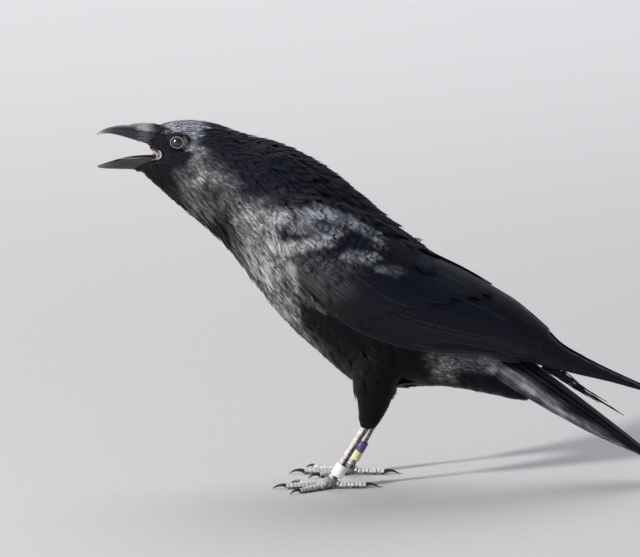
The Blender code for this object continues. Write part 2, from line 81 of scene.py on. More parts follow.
class Value:
    """A number socket that adds Math nodes when it is used in arithmetic."""

    def __init__(self, painter: "Painter", socket: bpy.types.NodeSocket) -> None:
        """Keeps the painter that adds nodes and the socket that holds the number."""
        self.painter = painter
        self.socket = socket

    def _math(self, operation: str, *terms: "Term", clamp: bool = False) -> "Value":
        """The result of a Math node on these terms, held between 0 and 1 if clamped."""
        settings = {"operation": operation, "use_clamp": clamp}
        return self.painter.number("ShaderNodeMath", settings, dict(enumerate(terms)))

    def __add__(self, other: "Term") -> "Value":
        """Self plus other."""
        return self._math("ADD", self, other)

    __radd__ = __add__

    def __sub__(self, other: "Term") -> "Value":
        """Self minus other."""
        return self._math("SUBTRACT", self, other)

    def __rsub__(self, other: "Term") -> "Value":
        """Other minus self."""
        return self._math("SUBTRACT", other, self)

    def __mul__(self, other: "Term") -> "Value":
        """Self times other."""
        return self._math("MULTIPLY", self, other)

    __rmul__ = __mul__

    def __truediv__(self, other: "Term") -> "Value":
        """Self divided by other."""
        return self._math("DIVIDE", self, other)

    def __pow__(self, other: "Term") -> "Value":
        """Self to the power of other."""
        return self._math("POWER", self, other)

    def magnitude(self) -> "Value":
        """The number without its sign."""
        return self._math("ABSOLUTE", self)

    def sine(self) -> "Value":
        """The sine of the number in radians."""
        return self._math("SINE", self)

    def held(self) -> "Value":
        """The number held between 0 and 1."""
        return self._math("ADD", self, 0.0, clamp=True)

    def step(self, start: Number, end: Number) -> "Value":
        """A smooth step that goes from 0 at start to 1 at end."""
        return self.painter.number("ShaderNodeMapRange", {"interpolation_type": "SMOOTHSTEP"},
                                   {"Value": self, "From Min": start, "From Max": end})


Term = Union[Value, Number]


class NodeMaker:
    """Adds nodes to one tree."""

    def __init__(self, tree: bpy.types.NodeTree) -> None:
        """Keeps the tree."""
        self.tree = tree

    def node(self, kind: str, settings: Optional[dict] = None,
             sockets: Optional[dict] = None) -> bpy.types.Node:
        """Adds a node.

        Args:
            kind: the node's type.
            settings: its properties, set before its sockets.
            sockets: values or links by socket name or number.

        Returns:
            The node.
        """
        node = self.tree.nodes.new(kind)
        for name, setting in (settings or {}).items():
            setattr(node, name, setting)
        for name, given in (sockets or {}).items():
            socket = node.inputs[name]
            if isinstance(given, Value):
                given = given.socket
            if isinstance(given, bpy.types.NodeSocket):
                self.tree.links.new(given, socket)
            else:
                socket.default_value = (*given, 1.0) if socket.type == "RGBA" else given
        return node


class Painter(NodeMaker):
    """Builds the nodes of one material."""

    def __init__(self, name: str) -> None:
        """Starts an empty material of this name."""
        self.material = bpy.data.materials.new(name)
        self.material.use_nodes = True
        super().__init__(self.material.node_tree)
        self.tree.nodes.clear()

    def number(self, kind: str, settings: dict, sockets: dict) -> Value:
        """The first output of a new node, as a number."""
        return Value(self, self.node(kind, settings, sockets).outputs[0])

    def vector(self, operation: str, *terms: object) -> bpy.types.Node:
        """A Vector Math node on these terms."""
        return self.node("ShaderNodeVectorMath", {"operation": operation}, dict(enumerate(terms)))

    def place(self) -> bpy.types.NodeSocket:
        """Object coordinates, which are the frame's metres on every piece."""
        return self.node("ShaderNodeTexCoord").outputs["Object"]

    def split(self, vector: bpy.types.NodeSocket) -> list[Value]:
        """The three numbers of a vector."""
        node = self.node("ShaderNodeSeparateXYZ", None, {"Vector": vector})
        return [Value(self, socket) for socket in node.outputs]

    def stretched(self, vector: bpy.types.NodeSocket, scale: Sequence[float],
                  turn: Sequence[float] = (0.0, 0.0, 0.0)) -> bpy.types.NodeSocket:
        """A vector read along axes turned by angles in radians, and stretched along each."""
        settings = {"vector_type": "TEXTURE"}
        sockets = {"Vector": vector, "Rotation": turn, "Scale": [1.0 / size for size in scale]}
        return self.node("ShaderNodeMapping", settings, sockets).outputs[0]

    def noise(self, vector: bpy.types.NodeSocket, scale: float, detail: float,
              roughness: float = 0.55) -> Value:
        """Cloudy noise between 0 and 1 with this many features to the metre."""
        sockets = {"Vector": vector, "Scale": scale, "Detail": detail, "Roughness": roughness}
        return self.number("ShaderNodeTexNoise", {}, sockets)

    def cells(self, vector: bpy.types.NodeSocket, scale: float) -> Value:
        """Distance to the nearest of scattered points, for pebbly skin."""
        return self.number("ShaderNodeTexVoronoi", {}, {"Vector": vector, "Scale": scale})

    def vane(self) -> tuple[Value, Value]:
        """Place across a feather, -1 to 1, and along it, 0 to 1."""
        uv = self.node("ShaderNodeUVMap", {"uv_map": "Vane"}).outputs[0]
        across, along, _ = self.split(uv)
        return across * 2.0 - 1.0, along

    def kept(self, name: str) -> Value:
        """A number kept on the mesh under this name."""
        node = self.node("ShaderNodeAttribute", {"attribute_name": name})
        return Value(self, node.outputs["Fac"])

    def mix(self, share: Term, low: object, high: object) -> bpy.types.NodeSocket:
        """A colour between two by a share, through the Mix node's colour sockets, 6 and 7."""
        sockets = {0: share, 6: low, 7: high}
        return self.node("ShaderNodeMix", {"data_type": "RGBA"}, sockets).outputs[2]

    def bump(self, height: Value, depth: float, strength: float) -> bpy.types.NodeSocket:
        """A normal bent by a height between 0 and 1 that stands for a depth in metres."""
        sockets = {"Height": height, "Distance": depth, "Strength": strength}
        return self.node("ShaderNodeBump", None, sockets).outputs[0]

    def surface(self, sockets: dict) -> bpy.types.Material:
        """Ends the material in a Principled shader with these sockets."""
        shader = self.node("ShaderNodeBsdfPrincipled", None, sockets)
        self.node("ShaderNodeOutputMaterial", None, {"Surface": shader.outputs[0]})
        return self.material


# ---- arrays and meshes


def at(x: Number, y: Number, z: Number) -> Array:
    """A place measured in millimetres on the source's drawing, in the frame's metres."""
    return np.array([x - CENTRE_X, y, z], float) * MM


def unit(vectors: Array) -> Array:
    """Vectors brought to a length of one."""
    return vectors / np.maximum(np.linalg.norm(vectors, axis=-1, keepdims=True), 1e-12)


def dot(first: Array, second: Array) -> Array:
    """Products of matching vectors, with the last axis kept."""
    return (first * second).sum(axis=-1, keepdims=True)


def ease(value: Array, start: float, end: float) -> Array:
    """A smooth step from 0 at start to 1 at end."""
    share = np.clip((np.asarray(value, float) - start) / (end - start), 0.0, 1.0)
    return share * share * (3.0 - 2.0 * share)


def between(rows: Array, place: Array) -> Array:
    """Rows of numbers read at places between them, on smooth curves through all rows."""
    place = np.atleast_1d(np.asarray(place, float))
    last = len(rows) - 1
    first = np.clip(np.floor(place).astype(int), 0, last - 1)
    part = (place - first)[..., None]
    a, b, c, d = (rows[np.clip(first + step, 0, last)] for step in (-1, 0, 1, 2))
    return 0.5 * (2 * b + (c - a) * part + (2 * a - 5 * b + 4 * c - d) * part**2
                  + (3 * b - a - 3 * c + d) * part**3)


@dataclass
class Patch:
    """Arrays of one mesh: corners, four-sided faces and what each corner keeps."""

    points: Array
    faces: Array
    vane: Array
    bake: Array
    tone: Array


def stacked(parts: Sequence) -> object:
    """Sets of arrays of one kind, end to end."""
    kind = type(parts[0])
    return kind(*(np.concatenate([getattr(part, name) for part in parts])
                  for name in kind.__dataclass_fields__))


def joined(patches: Sequence[Patch]) -> Patch:
    """Several patches as one."""
    whole = stacked(patches)
    starts = np.cumsum([0] + [len(part.points) for part in patches[:-1]])
    whole.faces = whole.faces + np.repeat(starts, [len(p.faces) for p in patches])[:, None]
    return whole


def read(items: object, name: str, width: int, kind: type = float) -> Array:
    """One property of all of a mesh's corners or edges."""
    values = np.empty(len(items) * width, kind)
    items.foreach_get(name, values)
    return values.reshape(-1, width)


def keep(mesh: bpy.types.Mesh, values: Union[float, Sequence[float]], name: str = "tone") -> None:
    """Keeps one number, or a number for each corner, on a mesh for its material."""
    spread = np.broadcast_to(np.asarray(values, np.float32), (len(mesh.vertices),))
    mesh.attributes.new(name, "FLOAT", "POINT").data.foreach_set("value", spread.copy())


def placed(name: str, data: bpy.types.ID) -> bpy.types.Object:
    """A new object in the scene, at the origin."""
    holder = bpy.data.objects.new(name, data)
    bpy.context.scene.collection.objects.link(holder)
    return holder


def shown(name: str, mesh: bpy.types.Mesh, material: bpy.types.Material, slot: str,
          *nodes: str) -> None:
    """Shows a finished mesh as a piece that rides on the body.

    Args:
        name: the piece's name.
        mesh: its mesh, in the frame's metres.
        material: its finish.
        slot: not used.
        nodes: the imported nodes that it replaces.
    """
    mesh.materials.clear()
    mesh.materials.append(material)
    piece = placed(name, mesh)
    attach(piece, "root")
    if nodes:
        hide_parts(*nodes)
    LOG.info("%s: %d faces", name, len(mesh.polygons))


def feathered(name: str, patch: Patch, material: bpy.types.Material, slot: str,
              *nodes: str) -> None:
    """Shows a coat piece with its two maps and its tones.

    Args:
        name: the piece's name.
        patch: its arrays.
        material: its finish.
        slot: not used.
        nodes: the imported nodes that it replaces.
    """
    mesh = bpy.data.meshes.new(name)
    corners = patch.faces.ravel()
    mesh.vertices.add(len(patch.points))
    mesh.vertices.foreach_set("co", patch.points.astype(np.float32).ravel())
    mesh.loops.add(len(corners))
    mesh.loops.foreach_set("vertex_index", corners.astype(np.int32))
    mesh.polygons.add(len(patch.faces))
    mesh.polygons.foreach_set("loop_start", np.arange(0, len(corners), 4, dtype=np.int32))
    mesh.update(calc_edges=True)
    for layer, values in (("OFBake", patch.bake), ("Vane", patch.vane)):
        uv = mesh.uv_layers.new(name=layer)
        uv.data.foreach_set("uv", values[corners].astype(np.float32).ravel())
    keep(mesh, patch.tone)
    # the painted highlights, kept at each corner for the material
    keep(mesh, silvery(mesh), "silver")
    mesh.shade_smooth()
    shown(name, mesh, material, slot, *nodes)


def slab(front: Array, behind: Array) -> tuple[Array, Array]:
    """A thin closed sheet between two grids of points.

    Args:
        front: one side, as (rows, columns, 3).
        behind: the other side.

    Returns:
        Its points and its four-sided faces, which look outward on the front's side when
        the front's rows and columns turn the right way.
    """
    grid = np.arange(front[..., 0].size * 2).reshape(2, *front.shape[:2])
    near, far = grid
    faces = [np.stack([near[:-1, :-1], near[1:, :-1], near[1:, 1:], near[:-1, 1:]], -1),
             np.stack([far[:-1, :-1], far[:-1, 1:], far[1:, 1:], far[1:, :-1]], -1)]
    for edge, flip in ((grid[:, :, 0], 1), (grid[:, :, -1], -1), (grid[:, 0], -1),
                       (grid[:, -1], 1)):
        ring = np.stack([edge[0, :-1], edge[1, :-1], edge[1, 1:], edge[0, 1:]], -1)
        faces.append(ring[:, ::flip])
    points = np.concatenate([front.reshape(-1, 3), behind.reshape(-1, 3)])
    return points, np.concatenate([face.reshape(-1, 4) for face in faces])


def meshed(name: str, form: bmesh.types.BMesh, sharp: float = 180.0) -> bpy.types.Mesh:
    """A smooth mesh of a form, which faces outward and keeps edges of more degrees sharp."""
    bmesh.ops.recalc_face_normals(form, faces=form.faces)
    mesh = bpy.data.meshes.new(name)
    form.to_mesh(mesh)
    form.free()
    mesh.shade_smooth()
    mesh.set_sharp_from_angle(angle=math.radians(sharp))
    return mesh


def belted(form: bmesh.types.BMesh, rings: list) -> None:
    """Joins each ring of corners to the next with four-sided faces."""
    for low, high in zip(rings, rings[1:]):
        for index in range(len(low)):
            turn = (index + 1) % len(low)
            form.faces.new((low[index], low[turn], high[turn], high[index]))


def lofted(name: str, loops: Sequence[Array], bulges: tuple[float, float] = (0.0, 0.0),
           sharp: float = 50.0) -> bpy.types.Mesh:
    """A closed mesh through rings of points, each end capped round a middle point.

    Args:
        name: the mesh's name.
        loops: rings of points, each as (points, 3) in metres.
        bulges: how far each end's middle point stands out, in metres.
        sharp: edges bent by more degrees than this stay sharp.

    Returns:
        The mesh.
    """
    form = bmesh.new()
    rings = [[form.verts.new(point) for point in loop] for loop in loops]
    belted(form, rings)
    for end, inner, bulge in ((0, 1, bulges[0]), (-1, -2, bulges[1])):
        middle = loops[end].mean(axis=0)
        outward = unit(middle - loops[inner].mean(axis=0))
        tip = form.verts.new(middle + outward * bulge)
        ring = rings[end]
        for corner, other in zip(ring, ring[1:] + ring[:1]):
            form.faces.new((corner, other, tip))
    return meshed(name, form, sharp)


def square_to(axis: Array) -> tuple[Array, Array]:
    """The fore and upward ways that are square to an axis."""
    up = unit(np.array([0.0, 0.0, 1.0]) - axis * axis[2])
    return np.cross(up, axis), up


def turned(name: str, middle: Array, axis: Array, profile: Sequence[tuple[float, float]],
           columns: int, stretch: float = 1.0) -> bpy.types.Mesh:
    """A ring or dish turned round an axis, with a closed profile.

    Args:
        name: the mesh's name.
        middle: the point that heights are counted from.
        axis: the direction of the axis.
        profile: radius and height pairs in millimetres, which close on themselves.
        columns: steps round the axis.
        stretch: how much wider it is fore and aft than up and down.

    Returns:
        The mesh.
    """
    axis = unit(axis)
    fore, up = square_to(axis)
    form = bmesh.new()
    rings = []
    for radius, height in profile:
        ring = oval(middle + axis * height * MM, fore * stretch * radius * MM,
                    up * radius * MM, columns)
        rings.append([form.verts.new(point) for point in ring])
    belted(form, rings + rings[:1])
    return meshed(name, form, 60.0)


def plain(holder: bpy.types.Object) -> bpy.types.Mesh:
    """The mesh that an object's modifiers make. The object is removed."""
    bpy.context.view_layer.update()
    graph = bpy.context.evaluated_depsgraph_get()
    mesh = bpy.data.meshes.new_from_object(holder.evaluated_get(graph))
    bpy.data.objects.remove(holder)
    return mesh


def remeshed(solids: Iterable[bpy.types.Mesh], size: float, rounds: int = 0) -> bpy.types.Mesh:
    """Closed meshes as one closed skin of even small faces. The meshes are used up.

    Args:
        solids: the meshes.
        size: the size of the faces in millimetres.
        rounds: how many times the skin is softened.

    Returns:
        The skin's mesh.
    """
    form = bmesh.new()
    for solid in solids:
        form.from_mesh(solid)
        bpy.data.meshes.remove(solid)
    rough = bpy.data.meshes.new("rough")
    form.to_mesh(rough)
    form.free()
    holder = placed("rough", rough)
    change = holder.modifiers.new("even", "REMESH")
    change.mode = "VOXEL"
    change.voxel_size = size * MM
    if rounds:
        soft = holder.modifiers.new("soft", "SMOOTH")
        soft.factor, soft.iterations = 0.5, rounds
    return plain(holder)


def mean_round(values: Array, edges: Array) -> Array:
    """The mean of each corner's neighbours."""
    total = np.zeros_like(values)
    np.add.at(total, edges[:, 0], values[edges[:, 1]])
    np.add.at(total, edges[:, 1], values[edges[:, 0]])
    count = np.maximum(np.bincount(edges.ravel(), minlength=len(values)), 1)
    return total / count.reshape((-1,) + (1,) * (values.ndim - 1))


def oval(middle: Array, first: Array, second: Array, columns: int) -> Array:
    """A ring of points round a middle, spanned by two half axes in metres."""
    angles = np.linspace(0.0, 2 * np.pi, columns, endpoint=False)[:, None]
    return middle + first * np.cos(angles) + second * np.sin(angles)


class Surface:
    """A mesh's surface, for bringing points to it."""

    def __init__(self, corners: Array, faces: Sequence[Sequence[int]]) -> None:
        """Keeps a search tree of these faces."""
        self.tree = BVHTree.FromPolygons([tuple(c) for c in corners], faces)

    @classmethod
    def of(cls, objects: Iterable[bpy.types.Object]) -> "Surface":
        """The surface of several objects' meshes together."""
        corners: list = []
        faces: list = []
        for piece in objects:
            start = len(corners)
            corners += [vert.co[:] for vert in piece.data.vertices]
            faces += [[start + i for i in poly.vertices] for poly in piece.data.polygons]
        return cls(np.array(corners), faces)

    def nearest(self, points: Array, reach: Array) -> tuple[Array, Array]:
        """Points brought to the surface where it lies within reach of them.

        Args:
            points: the points, (n, 3).
            reach: how far each may move, (n,).

        Returns:
            The moved points, and the surface's normals there, zero where it is out of reach.
        """
        moved = points.copy()
        normals = np.zeros_like(points)
        find = self.tree.find_nearest
        for index, (point, far) in enumerate(zip(points.tolist(), reach.tolist())):
            place, normal, _, _ = find(point, far)
            if place is not None:
                moved[index] = place
                normals[index] = normal
        return moved, normals

    def distance(self, points: Array, reach: float) -> Array:
        """Distances from points to the surface, and reach where it is further."""
        find = self.tree.find_nearest
        found = [find(point, reach)[3] for point in points.tolist()]
        return np.array([reach if gap is None else gap for gap in found])

    def struck(self, starts: Array, ways: Array, reach: float) -> tuple[Array, Array, Array]:
        """Where rays first strike the surface.

        Args:
            starts: their starting points.
            ways: their directions.
            reach: how far they go.

        Returns:
            The places, the normals there, and whether each ray struck.
        """
        places = np.zeros_like(starts)
        normals = np.zeros_like(starts)
        found = np.zeros(len(starts), bool)
        cast = self.tree.ray_cast
        for index, (start, way) in enumerate(zip(starts.tolist(), ways.tolist())):
            place, normal, _, _ = cast(start, way, reach)
            if place is not None:
                places[index] = place
                normals[index] = normal
                found[index] = True
        return places, normals, found


# ---- finishes


@dataclass(frozen=True)
class Glint:
    """A soft stroke, seen from the side, along which a highlight is painted on the feathers."""

    start: tuple             # x and z in the frame's millimetres
    end: tuple
    radius: float
    weight: float


# painted highlights: the strokes where the plumage is painted as if it caught the light
GLINTS = (
    Glint((-89, 207), (-86, 174), 15.5, 1.0),      # breast
    Glint((-84, 168), (-68, 137), 10.0, 0.85),
    Glint((-68, 136), (-46, 107), 5.5, 0.40),
    Glint((-107, 220), (-94, 208), 9.5, 0.42),     # front of the neck
    Glint((-74, 213), (-43, 217), 5.2, 1.1),       # top of the shoulder
    Glint((-43, 217), (-16, 207), 4.2, 1.1),
    Glint((-16, 207), (2, 192), 3.2, 0.9),
    Glint((-62, 207), (-30, 201), 4.6, 0.75),
    Glint((-72, 189), (-40, 196), 4.6, 1.5),       # small coverts
    Glint((-60, 180), (-32, 166), 15.0, 0.17),
    Glint((-74, 192), (-60, 158), 3.8, 0.9),       # front edge of the wing
    Glint((-59, 157), (-42, 141), 2.6, 0.35),
    Glint((-21, 184), (-5, 182), 4.2, 0.8),        # middle coverts
    Glint((0, 174), (16, 171), 3.0, 0.6),
    Glint((-134, 259), (-133, 239), 6.0, 0.65),    # cheek
    Glint((-143, 238), (-109, 236), 7.0, 0.34),
    Glint((-122, 250), (-112, 227), 6.5, 0.22),    # below the ear
    Glint((-141, 228), (-129, 212), 9.8, 0.42),    # throat
    Glint((-154, 278), (-134, 276), 6.0, 2.3),     # crown
    Glint((-140, 268), (-137, 257), 4.5, 0.55),
    Glint((44, 101), (53, 87), 7.5, 0.60),         # under the tail's root
    Glint((56, 99), (84, 96), 6.8, 0.70),
    Glint((84, 97), (117, 75), 5.6, 0.85),         # lower side of the tail
    Glint((117, 75), (140, 57), 4.6, 0.75),
    Glint((140, 57), (198, 20), 4.6, 0.60),
)


def silvery(mesh: bpy.types.Mesh) -> Array:
    """How much painted highlight the plumage gets at each corner of a mesh, by its place and the
    way it faces.
    """
    points = read(mesh.vertices, "co", 3) / MM
    flat, across = points[:, [0, 2]], points[:, 1]
    flat[:, 0] += 2.5 * np.sin(across * 0.62 + flat[:, 1] * 0.31) + 1.5 * np.sin(across * 1.7)
    total = np.zeros(len(points))
    for glint in GLINTS:
        start, run = np.array(glint.start), np.subtract(glint.end, glint.start)
        share = np.clip((flat - start) @ run / (run @ run), 0.0, 1.0)
        far = np.linalg.norm(flat - start - share[:, None] * run, axis=1) / glint.radius
        total += glint.weight * (1.0 - ease(far, 0.3, 1.6))
    turned_out = np.abs(read(mesh.vertices, "normal", 3)[:, 1])
    # the painted highlight shows a little on the head's top too, and on the body only where it
    # faces sideways
    return total * np.where(flat[:, 0] < -105.0, 0.4 + 0.6 * ease(turned_out, 0.05, 0.4),
                            ease(turned_out, 0.12, 0.5))


@dataclass(frozen=True)
class Plumage:
    """Black plumage, bluish above (its blue gloss with a painted sky reflection) and brownish
    below, with painted silvery highlights where light catches it.

    The skin and every coat piece take their colours and painted highlights from here.
    """

    name: str
    # the bluish colour above is the plumage's blue gloss together with a painted reflection of the
    # blue sky
    above: tuple = (0.0038, 0.0050, 0.0135)
    below: tuple = (0.0050, 0.0043, 0.0044)
    # colours of the painted highlights, lower on the body and on the back
    silver: tuple = (0.44, 0.43, 0.45)
    gloss: tuple = (0.37, 0.385, 0.45)
    roughness: float = 0.44
    sheen: float = 0.015
    barbs: int = 24
    slant: float = 0.45
    shaft: float = 0.05
    # pale vane edges, drawn in the colour of the painted highlights
    edge: float = 0.0
    # strength of the small painted flecks of highlight
    flecks: float = 0.13
    # how far the painted highlights are broken into streaks
    mottle: float = 0.65
    specular: float = 0.11
    vaned: bool = True

    def markings(self, paint: Painter) -> tuple[bpy.types.NodeSocket, bpy.types.NodeSocket,
                                                Value]:
        """The plumage's dark colour, the colour of its painted highlights, and how much highlight
        is painted.
        """
        place = paint.place()
        x, _, z = paint.split(place)
        # the back is bluish above a line that slants down towards the tail: the plumage's blue
        # gloss with a painted sky reflection
        rise = (z + 0.75 * x - 0.137).step(-0.022, 0.022)
        colour = paint.mix(rise, self.below, self.above)
        # the painted highlights are bluish grey on the back and grey lower down
        sheen = paint.mix((z + 0.75 * x - 0.150).step(0.0, 0.02), self.silver, self.gloss)
        # the painted highlights are broken into streaks and sprinkled with small painted flecks
        streaks = paint.stretched(place, (90.0, 480.0, 480.0), (0.0, math.radians(43), 0.0))
        streak = paint.noise(streaks, 1.0, 3.0, 0.6)
        cloud = paint.noise(place, 120.0, 2.0)
        broken = (streak + cloud * 0.5 - 0.25).step(0.34, 0.68) * self.mottle
        broken = broken + 0.7 * (1.0 - self.mottle)
        flecks = streak.step(0.66, 0.74) * cloud.step(0.45, 0.60) * self.flecks
        return colour, sheen, (paint.kept("silver") * broken + flecks).held()

    def build(self) -> bpy.types.Material:
        """Makes the material."""
        paint = Painter(self.name)
        colour, sheen, silver = self.markings(paint)
        grain = paint.noise(paint.place(), 900.0, 2.0)
        rough = self.roughness + (grain - 0.5) * 0.16
        height = grain * 0.5
        if self.vaned:
            across, along = paint.vane()
            tone = paint.kept("tone")
            out = across.magnitude()
            lines = paint.node("ShaderNodeCombineXYZ", None,
                               {0: across * 6.0, 1: along * 1.5, 2: tone * 60.0}).outputs[0]
            # the painted highlights grow towards each feather's tip, run in strands across the
            # vane, and edge it
            strand = paint.noise(lines, 1.0, 2.0).step(0.36, 0.64) * 0.9 + 0.4
            silver = silver * (along.step(0.1, 0.9) * 0.4 + 0.6) * (tone * 0.7 + 0.65) * strand
            rib = (along * self.barbs - out * (self.barbs * self.slant)) * (2 * math.pi)
            height = (rib.sine() * 0.5 + 0.5) * 0.7 + grain * 0.3
            quill = 1.0 - out.step(self.shaft * 0.5, self.shaft)
            height = height + quill * 0.5
            silver = silver + across.step(0.80, 0.97) * self.edge * tone
            colour = paint.mix(tone * 0.7, colour, tuple(0.45 * c for c in self.above))
            rough = rough - tone * 0.06
        # the painted highlights are mixed into the base colour
        colour = paint.mix(silver.held(), colour, sheen)
        return paint.surface({
            "Base Color": colour,
            "Roughness": rough,
            "Normal": paint.bump(height, 0.00010, 0.55),
            "Specular IOR Level": self.specular,
            "Sheen Weight": self.sheen,
            "Sheen Roughness": 0.35,
            "Sheen Tint": (0.62, 0.68, 0.86),
        })


@dataclass(frozen=True)
class Horn:
    """Dark horn of the bill and claws, drawn out in fine lines along its length."""

    name: str
    dark: tuple = (0.014, 0.015, 0.019)
    pale: tuple = (0.15, 0.15, 0.155)
    roughness: float = 0.27
    tip_x: float = 0.0
    tip_reach: float = 0.0
    dust: float = 0.25
    specular: float = 0.5

    def build(self) -> bpy.types.Material:
        """Makes the material."""
        paint = Painter(self.name)
        place = paint.place()
        x, _, _ = paint.split(place)
        lines = paint.noise(paint.stretched(place, (60.0, 900.0, 900.0)), 1.0, 4.0, 0.6)
        clouds = paint.noise(place, 260.0, 4.0)
        worn = (lines.step(0.50, 0.80) * 0.35 + clouds.step(0.52, 0.72) * 0.3) * self.dust
        # paler towards tip_x: a painted highlight on the bills' tips and at the rear of the eye's
        # fringe; on the bristles, paler front ends
        if self.tip_reach:
            worn = worn + x.step(self.tip_x + self.tip_reach, self.tip_x) * 0.55
        return paint.surface({
            "Base Color": paint.mix(worn.held(), self.dark, self.pale),
            "Roughness": self.roughness + clouds * 0.14,
            "Normal": paint.bump(lines * 0.7 + clouds * 0.3, 0.00015, 0.5),
            "Specular IOR Level": self.specular,
        })


@dataclass(frozen=True)
class EyeBall:
    """A dark brown iris round a black pupil, under a wet clear surface."""

    name: str
    middle: tuple
    axis: tuple
    pupil: float = 2.3
    iris: float = 4.7

    def build(self) -> bpy.types.Material:
        """Makes the material."""
        paint = Painter(self.name)
        away = paint.vector("SUBTRACT", paint.place(), self.middle).outputs[0]
        side = paint.vector("CROSS_PRODUCT", away, self.axis).outputs[0]
        radius = Value(paint, paint.vector("LENGTH", side).outputs["Value"]) * 1000.0
        fibres = paint.noise(away, 1600.0, 3.0)
        brown = paint.mix(fibres.step(0.35, 0.70), (0.012, 0.006, 0.004), (0.036, 0.018, 0.011))
        ringed = paint.mix(radius.step(self.iris - 0.9, self.iris), brown, (0.006, 0.004, 0.003))
        colour = paint.mix(radius.step(self.pupil + 0.12, self.pupil - 0.12), ringed,
                           (0.0015, 0.0015, 0.0015))
        return paint.surface({
            "Base Color": colour,
            "Roughness": 0.30 + fibres * 0.1,
            "Coat Weight": 1.0,
            "Coat Roughness": 0.03,
            "Specular IOR Level": 0.4,
        })


@dataclass(frozen=True)
class BareSkin:
    """Pebbly bare skin, from a deep colour to a pale one by the mesh's own tones."""

    name: str
    deep: tuple
    pale: tuple
    roughness: float = 0.5
    pebbles: float = 2200.0
    mottle: float = 0.35
    coat: float = 0.0
    specular: float = 0.5

    def build(self) -> bpy.types.Material:
        """Makes the material."""
        paint = Painter(self.name)
        place = paint.place()
        pebble = paint.cells(place, self.pebbles)
        cloud = paint.noise(place, 420.0, 4.0)
        share = paint.kept("tone") + (cloud - 0.5) * self.mottle - pebble.step(0.5, 0.9) * 0.12
        return paint.surface({
            "Base Color": paint.mix(share.held(), self.deep, self.pale),
            "Roughness": self.roughness + (cloud - 0.5) * 0.2,
            "Normal": paint.bump(1.0 - pebble, 0.00012, 0.6),
            "Coat Weight": self.coat,
            "Specular IOR Level": self.specular,
        })


@dataclass(frozen=True)
class Ring:
    """A leg band's metal or plastic, with handling scratches and no lettering."""

    name: str
    colour: tuple
    worn: tuple
    metallic: float
    roughness: float

    def build(self) -> bpy.types.Material:
        """Makes the material."""
        paint = Painter(self.name)
        place = paint.place()
        scratch = paint.noise(paint.stretched(place, (300.0, 300.0, 3000.0)), 1.0, 3.0)
        cloud = paint.noise(place, 500.0, 4.0)
        share = scratch.step(0.52, 0.75) * 0.45 + cloud.step(0.5, 0.75) * 0.45
        return paint.surface({
            "Base Color": paint.mix(share, self.colour, self.worn),
            "Metallic": self.metallic,
            "Roughness": self.roughness + cloud * 0.25,
            "Normal": paint.bump(scratch, 0.00004, 0.5),
        })


@dataclass(frozen=True)
class Ground:
    """A plain pale studio floor with the faintest grain, painted paler further from the camera
    where the lamps light it less.
    """

    name: str = "studio_floor"
    colour: tuple = (0.60, 0.58, 0.59)
    shade: tuple = (0.53, 0.515, 0.525)
    # painted light: the far floor's colour, paler to even out the lamps' falloff
    far: tuple = (0.84, 0.815, 0.82)

    def build(self) -> bpy.types.Material:
        """Makes the material."""
        paint = Painter(self.name)
        grain = paint.noise(paint.place(), 160.0, 5.0)
        _, away, _ = paint.split(paint.place())
        near = paint.mix(grain, self.shade, self.colour)
        return paint.surface({
            # painted light: the floor's colour grows paler away from the camera
            "Base Color": paint.mix(away.step(0.3, 2.8), near, self.far),
            "Roughness": 0.9,
            "Specular IOR Level": 0.1,
        })


# ---- body, skin and coat


@dataclass(frozen=True)
class Form:
    """A lofted form of rows of x, z, half height, half width and lean towards the tail.

    A wing's rows end with the angles of its upper and its lower edge.
    """

    rows: Array

    def row(self, place: Array) -> Array:
        """The rows at places along the form."""
        return between(self.rows, place)

    def middle(self, place: Array) -> Array:
        """Middles of the cross-sections at these places, in metres."""
        row = self.row(place)
        return np.stack([(row[..., 0] - CENTRE_X) * MM, row[..., 0] * 0.0, row[..., 1] * MM], -1)

    def up(self, place: Array) -> Array:
        """The way from each middle towards the back."""
        lean = np.radians(self.row(place)[..., 4])
        return np.stack([np.sin(lean), lean * 0.0, np.cos(lean)], -1)

    def point(self, place: Array, angle: Array) -> Array:
        """Points of the form at angles, in radians from the back's midline towards +Y."""
        row = self.row(place)
        root = 2 / ROUNDNESS
        rise = row[..., 2] * np.sign(np.cos(angle)) * np.abs(np.cos(angle)) ** root * MM
        out = row[..., 3] * np.sign(np.sin(angle)) * np.abs(np.sin(angle)) ** root * MM
        points = self.middle(place) + self.up(place) * rise[..., None]
        points[..., 1] += out
        return points

    def flow(self, place: Array, angle: Array) -> Array:
        """The way towards the tail along the form's surface."""
        return unit(self.point(place + 0.05, angle) - self.point(place - 0.05, angle))


BODY = Form(np.array((
    (-153.0, 256.2, 15.3, 9.5, 12), (-144.5, 254.4, 20.6, 14.0, 9),
    (-136.1, 251.6, 25.6, 16.6, 7), (-126.0, 248.0, 31.0, 19.0, 6),
    (-108.2, 241.3, 37.0, 23.0, 8), (-84.6, 228.8, 41.0, 29.5, 14),
    (-54.0, 208.6, 48.0, 39.0, 23), (-22.0, 176.8, 56.4, 45.5, 26),
    (9.0, 148.3, 56.6, 46.0, 27), (32.4, 128.6, 56.6, 43.0, 28),
    (55.6, 116.8, 50.8, 37.0, 28), (79.4, 108.6, 38.0, 28.0, 27),
    (100.5, 96.8, 27.2, 20.0, 25), (119.0, 83.2, 17.0, 13.5, 22),
    (140.0, 69.6, 7.0, 7.0, 15),
)))

